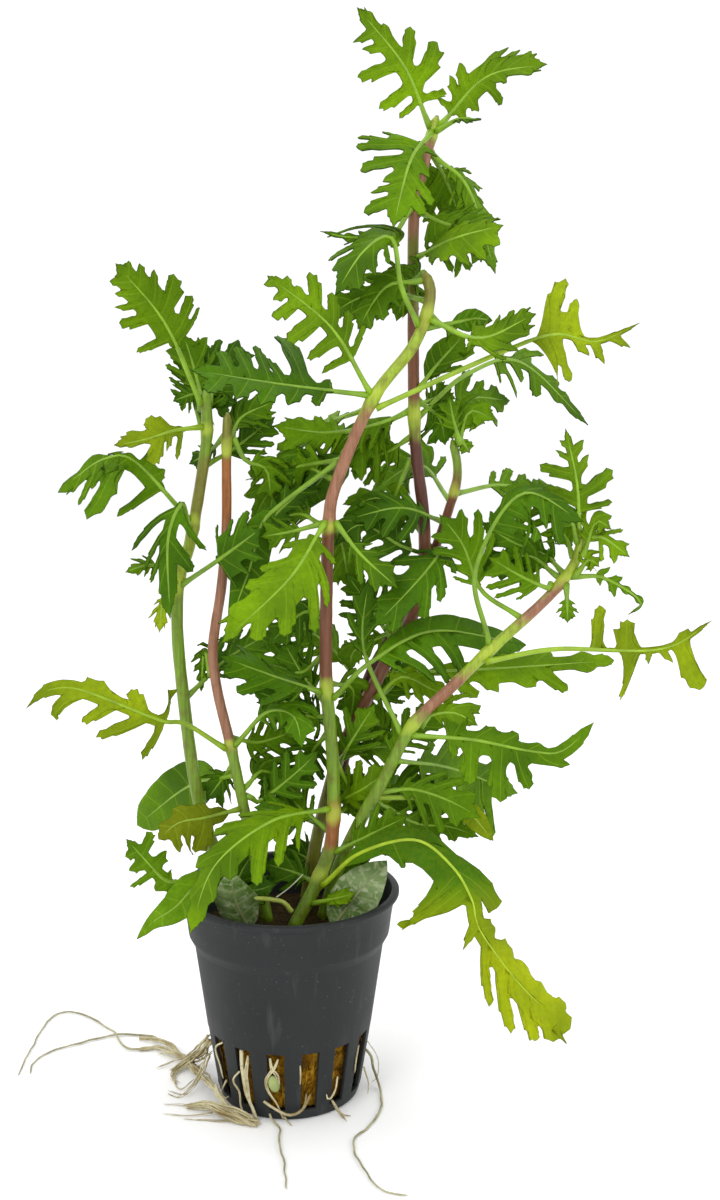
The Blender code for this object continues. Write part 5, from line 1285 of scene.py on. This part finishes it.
def make_strand(name, line, waver, number, pitch, sides, finish, node=None):
    """A root or stalk that is a piece of its own, from its radii and its route."""
    bm = bmesh.new()
    radii, route = line
    add_strand(bm, route, radii, waver, number, pitch, sides)
    close_and_face(bm)
    piece_from(name, bm, [finish], node)


def add_bundle(bm, bundle, number, waver):
    """Roots side by side, which part in the middle and come together at the ends."""
    chance = random.Random(SEED + number)
    ends = len(bundle.route) - 1
    for k in range(bundle.count):
        turn = chance.uniform(0, math.tau)
        away = Vector((math.cos(turn), math.sin(turn), 0.6 * math.sin(turn * 3))) * bundle.spread
        route = []
        for i, place in enumerate(bundle.route):
            part = 0.35 + 0.65 * math.sin(math.pi * i / ends)
            stray = Vector([chance.uniform(-0.35, 0.35) * bundle.spread for _ in range(3)])
            spot = Vector(place) + away * part * chance.uniform(0.4, 1.0) + stray
            spot.z = max(spot.z, 0.2)
            route.append(spot)
        thick = chance.uniform(0.6, 1.0) if bundle.count > 1 else 1.0
        add_strand(bm, route, [radius * thick for radius in bundle.radii], waver, number + k, 1.0, 6)


def make_tuft(name, bundles, number, waver, finish, node=None):
    """A tuft of roots, bundle by bundle."""
    bm = bmesh.new()
    for k, bundle in enumerate(bundles):
        add_bundle(bm, bundle, number + 20 * k, waver)
    close_and_face(bm)
    piece_from(name, bm, [finish], node)


def spun(profile, segments, start=0.0):
    """A bmesh turned round the z axis from a profile of radius and height points, joined end to end."""
    bm = bmesh.new()
    direction = Vector((math.cos(start), math.sin(start), 0))
    knots = [bm.verts.new(direction * radius + Vector((0, 0, height))) for radius, height in profile]
    edges = [bm.edges.new(pair) for pair in zip(knots, knots[1:])]
    bmesh.ops.spin(bm, geom=knots + edges, cent=(0, 0, 0), axis=(0, 0, 1), angle=math.tau,
                   steps=segments, use_merge=True)
    bmesh.ops.remove_doubles(bm, verts=bm.verts, dist=1e-4)
    bmesh.ops.recalc_face_normals(bm, faces=bm.faces)
    return bm


def wall_radius(height):
    """The radius of the pot's outside at a height."""
    marks = ((0, FOOT_RADIUS), (SLOT_FOOT, SLOT_FOOT_RADIUS), (SLOT_TOP, SLOT_TOP_RADIUS),
             (WALL_TOP, WALL_RADIUS), (STEP_HEIGHT, STEP_RADIUS), (POT_HEIGHT, COLLAR_RADIUS))
    for (low, inner), (high, outer) in zip(marks, marks[1:]):
        if height <= high:
            return inner + (outer - inner) * (height - low) / (high - low)
    return COLLAR_RADIUS


def cut_slots(bm):
    """Opens the wall's panels between the slots' foot and top, right through."""
    pitch = math.tau / SLOTS
    doomed = [[] for _ in range(SLOTS)]
    for panel in bm.faces:
        middle = panel.calc_center_median()
        heights = [v.co.z for v in panel.verts]
        if min(heights) < SLOT_FOOT - 0.01 or max(heights) > SLOT_TOP + 0.01:
            continue
        turn = (math.atan2(middle.y, middle.x) - FIRST_SLOT) % math.tau
        if turn % pitch < pitch / 2:
            doomed[int(turn / pitch)].append(panel)
    for panels in doomed:
        rims = {e for p in panels for e in p.edges if sum(f in panels for f in e.link_faces) == 1}
        bmesh.ops.delete(bm, geom=panels, context="FACES_ONLY")
        bmesh.ops.bridge_loops(bm, edges=list(rims))
    bmesh.ops.delete(bm, geom=[e for e in bm.edges if not e.link_faces], context="EDGES")
    bmesh.ops.delete(bm, geom=[v for v in bm.verts if not v.link_faces], context="VERTS")
    bmesh.ops.recalc_face_normals(bm, faces=bm.faces)


class WISTERIA_OT_pot(bpy.types.Operator):
    """Makes the moulded net pot with its slots"""
    bl_idname = "wisteria.pot"
    bl_label = "Net pot"

    def execute(self, context):
        pot = context.scene.wisteria_pot
        wall = pot.wall / MM
        under_lip = POT_HEIGHT - LIP_DEPTH
        inner_collar = COLLAR_RADIUS - wall
        inner_step = STEP_RADIUS - wall
        profile = [
            (0.0, FLOOR_UNDERSIDE), (FOOT_RADIUS - 1.4, FLOOR_UNDERSIDE), (FOOT_RADIUS - 1.0, 0.0),
            (FOOT_RADIUS - 0.6, 0.05), (FOOT_RADIUS - 0.15, 0.4), (FOOT_RADIUS, 0.9),
            *((wall_radius(height), height) for height in WALL_RINGS),
            (WALL_RADIUS - 0.05, WALL_TOP - 0.5), (WALL_RADIUS + 0.1, WALL_TOP),
            (STEP_RADIUS - 0.2, STEP_HEIGHT - 0.4), (STEP_RADIUS, STEP_HEIGHT),
            (STEP_RADIUS + 0.1, STEP_HEIGHT + 0.6), (wall_radius(COLLAR_RING), COLLAR_RING),
            (COLLAR_RADIUS - 0.1, under_lip - 0.3), (COLLAR_RADIUS + 0.1, under_lip),
            (LIP_RADIUS - 0.15, under_lip + 0.25), (LIP_RADIUS, under_lip + 0.5),
            (LIP_RADIUS, POT_HEIGHT - 0.3), (LIP_RADIUS - 0.3, POT_HEIGHT),
            (inner_collar + 0.25, POT_HEIGHT), (inner_collar, POT_HEIGHT - 0.3),
            (inner_step + 0.05, STEP_HEIGHT + 0.5), (inner_step - 0.2, STEP_HEIGHT - 0.4),
            (WALL_RADIUS - wall, WALL_TOP - 0.4),
            *((wall_radius(height) - wall, height) for height in reversed(WALL_RINGS)),
            (FOOT_RADIUS - wall - 0.3, FLOOR_TOP), (0.0, FLOOR_TOP)]
        bm = spun(profile, SLOTS * SEGMENTS_PER_SLOT, FIRST_SLOT)
        cut_slots(bm)
        rims = [e for e in bm.edges if e.is_manifold and e.calc_face_angle(0) > math.radians(50)]
        bmesh.ops.bevel(bm, geom=rims, offset=0.1, offset_type="OFFSET", affect="EDGES", segments=2,
                        profile=0.5, material=-1, clamp_overlap=True)
        bmesh.ops.recalc_face_normals(bm, faces=bm.faces)
        piece_from("pot_moulding", bm, [plastic_finish(tuple(pot.plastic))], "net_pot")
        return {"FINISHED"}


def on_circle(radius, turn, height):
    """A place at a radius from the pot's axis, at a turn round it and at a height."""
    return Vector((radius * math.cos(turn), radius * math.sin(turn), height))


def add_fibre(bm, chance):
    """One loose fibre, bowed out from the plug's side."""
    turn = chance.uniform(0, math.tau)
    height = chance.uniform(*FIBRE_HEIGHTS)
    radius = wall_radius(height) - WOOL_INSET - 0.15
    start = on_circle(radius, turn, height)
    lean = chance.uniform(-0.14, 0.14)
    rise = chance.uniform(-3.0, 3.0)
    end = on_circle(radius + chance.uniform(-0.2, 0.25), turn + lean, height + rise)
    middle = (start + end) / 2
    middle += Vector((middle.x, middle.y, 0)).normalized() * chance.uniform(0.1, 0.45)
    size = chance.uniform(0.05, 0.11)
    rolled_tube(bm, [start, middle, end], [size, size, size * 0.5], 3)


class WISTERIA_OT_wool(bpy.types.Operator):
    """Makes the matted plug of mineral wool with its loose fibres"""
    bl_idname = "wisteria.wool"
    bl_label = "Mineral wool"

    def execute(self, context):
        pot = context.scene.wisteria_pot
        heights = [2.4 + 1.1 * i for i in range(35)]
        shoulder = wall_radius(WOOL_TOP) - WOOL_INSET - 1.8
        profile = [(0.0, 1.9), (8.0, 1.8), (wall_radius(2) - WOOL_INSET - 1.0, 1.8),
                   *((wall_radius(height) - WOOL_INSET, height) for height in heights),
                   *((radius, WOOL_TOP) for radius in (shoulder, 13.0, 6.0, 0.0))]
        bm = spun(profile, 96)
        for vert in bm.verts:
            flat = Vector((vert.co.x, vert.co.y, 0))
            lump = noise.noise(vert.co * 0.4) + 0.6 * noise.noise(vert.co * 1.1)
            vert.co -= flat.normalized() * (0.35 + 0.55 * lump) * (flat.length > 9)
            vert.co.z += 0.8 * (lump - 0.5) * (vert.co.z > WOOL_TOP - 0.5)
        chance = random.Random(SEED)
        fibres = bmesh.new()
        for _ in range(pot.fibres):
            add_fibre(fibres, chance)
        close_and_face(fibres)
        loose = bpy.data.meshes.new("loose_fibres")
        fibres.to_mesh(loose)
        fibres.free()
        bm.from_mesh(loose)
        bpy.data.meshes.remove(loose)
        piece_from("wool_plug", bm, [wool_finish(tuple(pot.wool))], "rock_wool")
        return {"FINISHED"}


class WISTERIA_OT_stems(bpy.types.Operator):
    """Makes the six stems with their joints"""
    bl_idname = "wisteria.stems"
    bl_label = "Stems"

    def execute(self, context):
        for name, stem in STEMS.items():
            make_stem(name, stem)
        return {"FINISHED"}


class WISTERIA_OT_leaves(bpy.types.Operator):
    """Makes every leaf with its stalk, ribs and lobed blade, and the loose bits in the pot's mouth"""
    bl_idname = "wisteria.leaves"
    bl_label = "Leaves"

    def execute(self, context):
        plant = context.scene.wisteria_plant
        veins = tuple(plant.veins)
        finishes = {}
        for tone in ("bright", "mid", "dark", "yellow", "olive", "turning"):
            colour = tuple(getattr(plant, tone))
            # The turning leaf takes the dark colour, painted shade, above the rim, and its own, painted
            # light, below
            foot = tuple(plant.dark) if tone == "turning" else None
            stalk = tuple(0.45 * v + 0.55 * c for v, c in zip(veins, colour))
            finishes[tone] = [leaf_finish("leaf_" + tone + "_upper", colour, veins, False, foot),
                              leaf_finish("leaf_" + tone + "_lower", colour, veins, True, foot),
                              rib_finish("rib_" + tone, stalk)]
        old = old_leaf_finish("leaf_withered", tuple(plant.old))
        finishes["old"] = [old, old, rib_finish("rib_withered", tint(140, 150, 96))]
        pale = rib_finish("stalk_pale", tint(172, 186, 78))
        palest = rib_finish("thread_pale", tint(196, 204, 170))
        make_strand("cut_stalk", CUT_STALK, 0.0, 0, 0.6, 9, pale)
        make_strand("thread_root", THREAD_ROOT, 0.0, 0, 0.6, 9, palest)
        for number, (name, leaf) in enumerate((*LEAVES.items(), *SMALL_LEAVES.items())):
            node = name if name in LEAVES else None
            make_leaf(name + "_blade", leaf, number, finishes[leaf.tone], plant, node)
        return {"FINISHED"}


class WISTERIA_OT_roots(bpy.types.Operator):
    """Makes the long roots, the tufts of fine ones and the bud in a slot"""
    bl_idname = "wisteria.roots"
    bl_label = "Roots"

    def execute(self, context):
        roots = context.scene.wisteria_roots
        waver = roots.waver / MM
        # Without a seed of its own the noise that bends the strands starts from the clock
        noise.seed_set(SEED)
        cream = root_finish("root_cream", tuple(roots.colour), tint(140, 122, 78))
        olive = root_finish("root_olive", tint(176, 172, 138), tint(128, 122, 88))
        for number, (name, root) in enumerate(LONG_ROOTS.items()):
            make_strand(name + "_strand", root, waver, number + 10, 0.8, 7, olive, name)
        for number, (name, tuft) in enumerate(TUFTS.items()):
            make_tuft(name + "_strands", tuft, 1000 * (number + 1), waver, cream, name)
        make_tuft("slot_roots", SLOT_ROOTS, 5000, waver * 0.5, cream)
        bm = bmesh.new()
        bmesh.ops.create_uvsphere(bm, u_segments=20, v_segments=14, radius=1.0)
        bmesh.ops.scale(bm, vec=BUD_SIZE, verts=bm.verts)
        bmesh.ops.rotate(bm, cent=(0, 0, 0), matrix=Matrix.Rotation(BUD_LEAN, 3, "Y"), verts=bm.verts)
        bmesh.ops.translate(bm, vec=BUD_PLACE, verts=bm.verts)
        piece_from("slot_bud", bm, [rib_finish("bud_green", tint(150, 164, 98))])
        return {"FINISHED"}


class WISTERIA_OT_studio(bpy.types.Operator):
    """Sets up the pale floor, the soft lights and the camera"""
    bl_idname = "wisteria.studio"
    bl_label = "Studio"

    def execute(self, context):
        scene = context.scene
        studio = scene.wisteria_studio
        bm = bmesh.new()
        bmesh.ops.create_grid(bm, x_segments=2, y_segments=2, size=studio.floor)
        mesh = bpy.data.meshes.new("studio_floor")
        bm.to_mesh(mesh)
        bm.free()
        white, _, shader = new_finish("studio_white", 0.9, 0.1)
        shader.inputs["Base Color"].default_value = (0.93, 0.93, 0.93, 1.0)
        mesh.materials.append(white)
        floor = bpy.data.objects.new("studio_floor", mesh)
        scene.collection.objects.link(floor)
        world = bpy.data.worlds.new("studio_surround")
        world.use_nodes = True
        surround = world.node_tree.nodes["Background"]
        surround.inputs["Color"].default_value = (1.0, 1.0, 1.0, 1.0)
        surround.inputs["Strength"].default_value = studio.sky
        scene.world = world
        for name, (power, place, width) in LAMPS.items():
            light = bpy.data.lights.new(name, "AREA")
            light.energy = getattr(studio, power)
            light.shape = "DISK"
            light.size = width
            lamp = bpy.data.objects.new(name, light)
            lamp.location = place
            lamp.rotation_euler = (LAMP_AIM - Vector(place)).to_track_quat("-Z", "Y").to_euler()
            scene.collection.objects.link(lamp)
        flat = math.cos(CAMERA_PITCH)
        forward = Vector((math.sin(CAMERA_YAW) * flat, math.cos(CAMERA_YAW) * flat, -math.sin(CAMERA_PITCH)))
        level = Vector((math.cos(CAMERA_YAW), -math.sin(CAMERA_YAW), 0))
        upward = level.cross(forward)
        right = level * math.cos(CAMERA_ROLL) + upward * math.sin(CAMERA_ROLL)
        up = upward * math.cos(CAMERA_ROLL) - level * math.sin(CAMERA_ROLL)
        lens = bpy.data.cameras.new("camera")
        lens.lens = CAMERA_LENS
        lens.sensor_width = 36
        lens.clip_start = 0.01
        camera = bpy.data.objects.new("camera", lens)
        turn = Matrix((right, up, -forward)).transposed()
        camera.matrix_world = Matrix.Translation(CAMERA_PLACE) @ turn.to_4x4()
        scene.collection.objects.link(camera)
        scene.camera = camera
        scene.view_settings.view_transform = "Standard"
        return {"FINISHED"}


class WISTERIA_PT_panel(bpy.types.Panel):
    """Lists the pieces' settings, each group with what makes its pieces"""
    bl_idname = "WISTERIA_PT_panel"
    bl_label = "Water wisteria"
    bl_space_type = "VIEW_3D"
    bl_region_type = "UI"
    bl_category = "Wisteria"

    def draw(self, context):
        scene = context.scene
        for group, actions in ((scene.wisteria_pot, (WISTERIA_OT_pot, WISTERIA_OT_wool)),
                               (scene.wisteria_plant, (WISTERIA_OT_stems, WISTERIA_OT_leaves)),
                               (scene.wisteria_roots, (WISTERIA_OT_roots,)),
                               (scene.wisteria_studio, (WISTERIA_OT_studio,))):
            box = self.layout.box()
            for key in group.bl_rna.properties.keys():
                if key not in ("rna_type", "name"):
                    box.prop(group, key)
            for action in actions:
                box.operator(action.bl_idname)


SETTINGS = {"wisteria_pot": PotSettings, "wisteria_plant": PlantSettings, "wisteria_roots": RootSettings,
            "wisteria_studio": StudioSettings}
OPERATORS = (WISTERIA_OT_pot, WISTERIA_OT_wool, WISTERIA_OT_stems, WISTERIA_OT_leaves, WISTERIA_OT_roots,
             WISTERIA_OT_studio)


def register():
    """Adds the settings to the scene and registers the operators and the panel."""
    for name, group in SETTINGS.items():
        bpy.utils.register_class(group)
        setattr(bpy.types.Scene, name, bpy.props.PointerProperty(type=group))
    for operator in (*OPERATORS, WISTERIA_PT_panel):
        bpy.utils.register_class(operator)


def unregister():
    """Takes the operators, the panel and the settings away again."""
    for operator in reversed((*OPERATORS, WISTERIA_PT_panel)):
        bpy.utils.unregister_class(operator)
    for name, group in SETTINGS.items():
        delattr(bpy.types.Scene, name)
        bpy.utils.unregister_class(group)


def main():
    """Makes every piece and the stage."""
    register()
    bpy.ops.wisteria.pot()
    bpy.ops.wisteria.wool()
    bpy.ops.wisteria.stems()
    bpy.ops.wisteria.leaves()
    bpy.ops.wisteria.roots()
    bpy.ops.wisteria.studio()


if __name__ == "__main__":
    main()
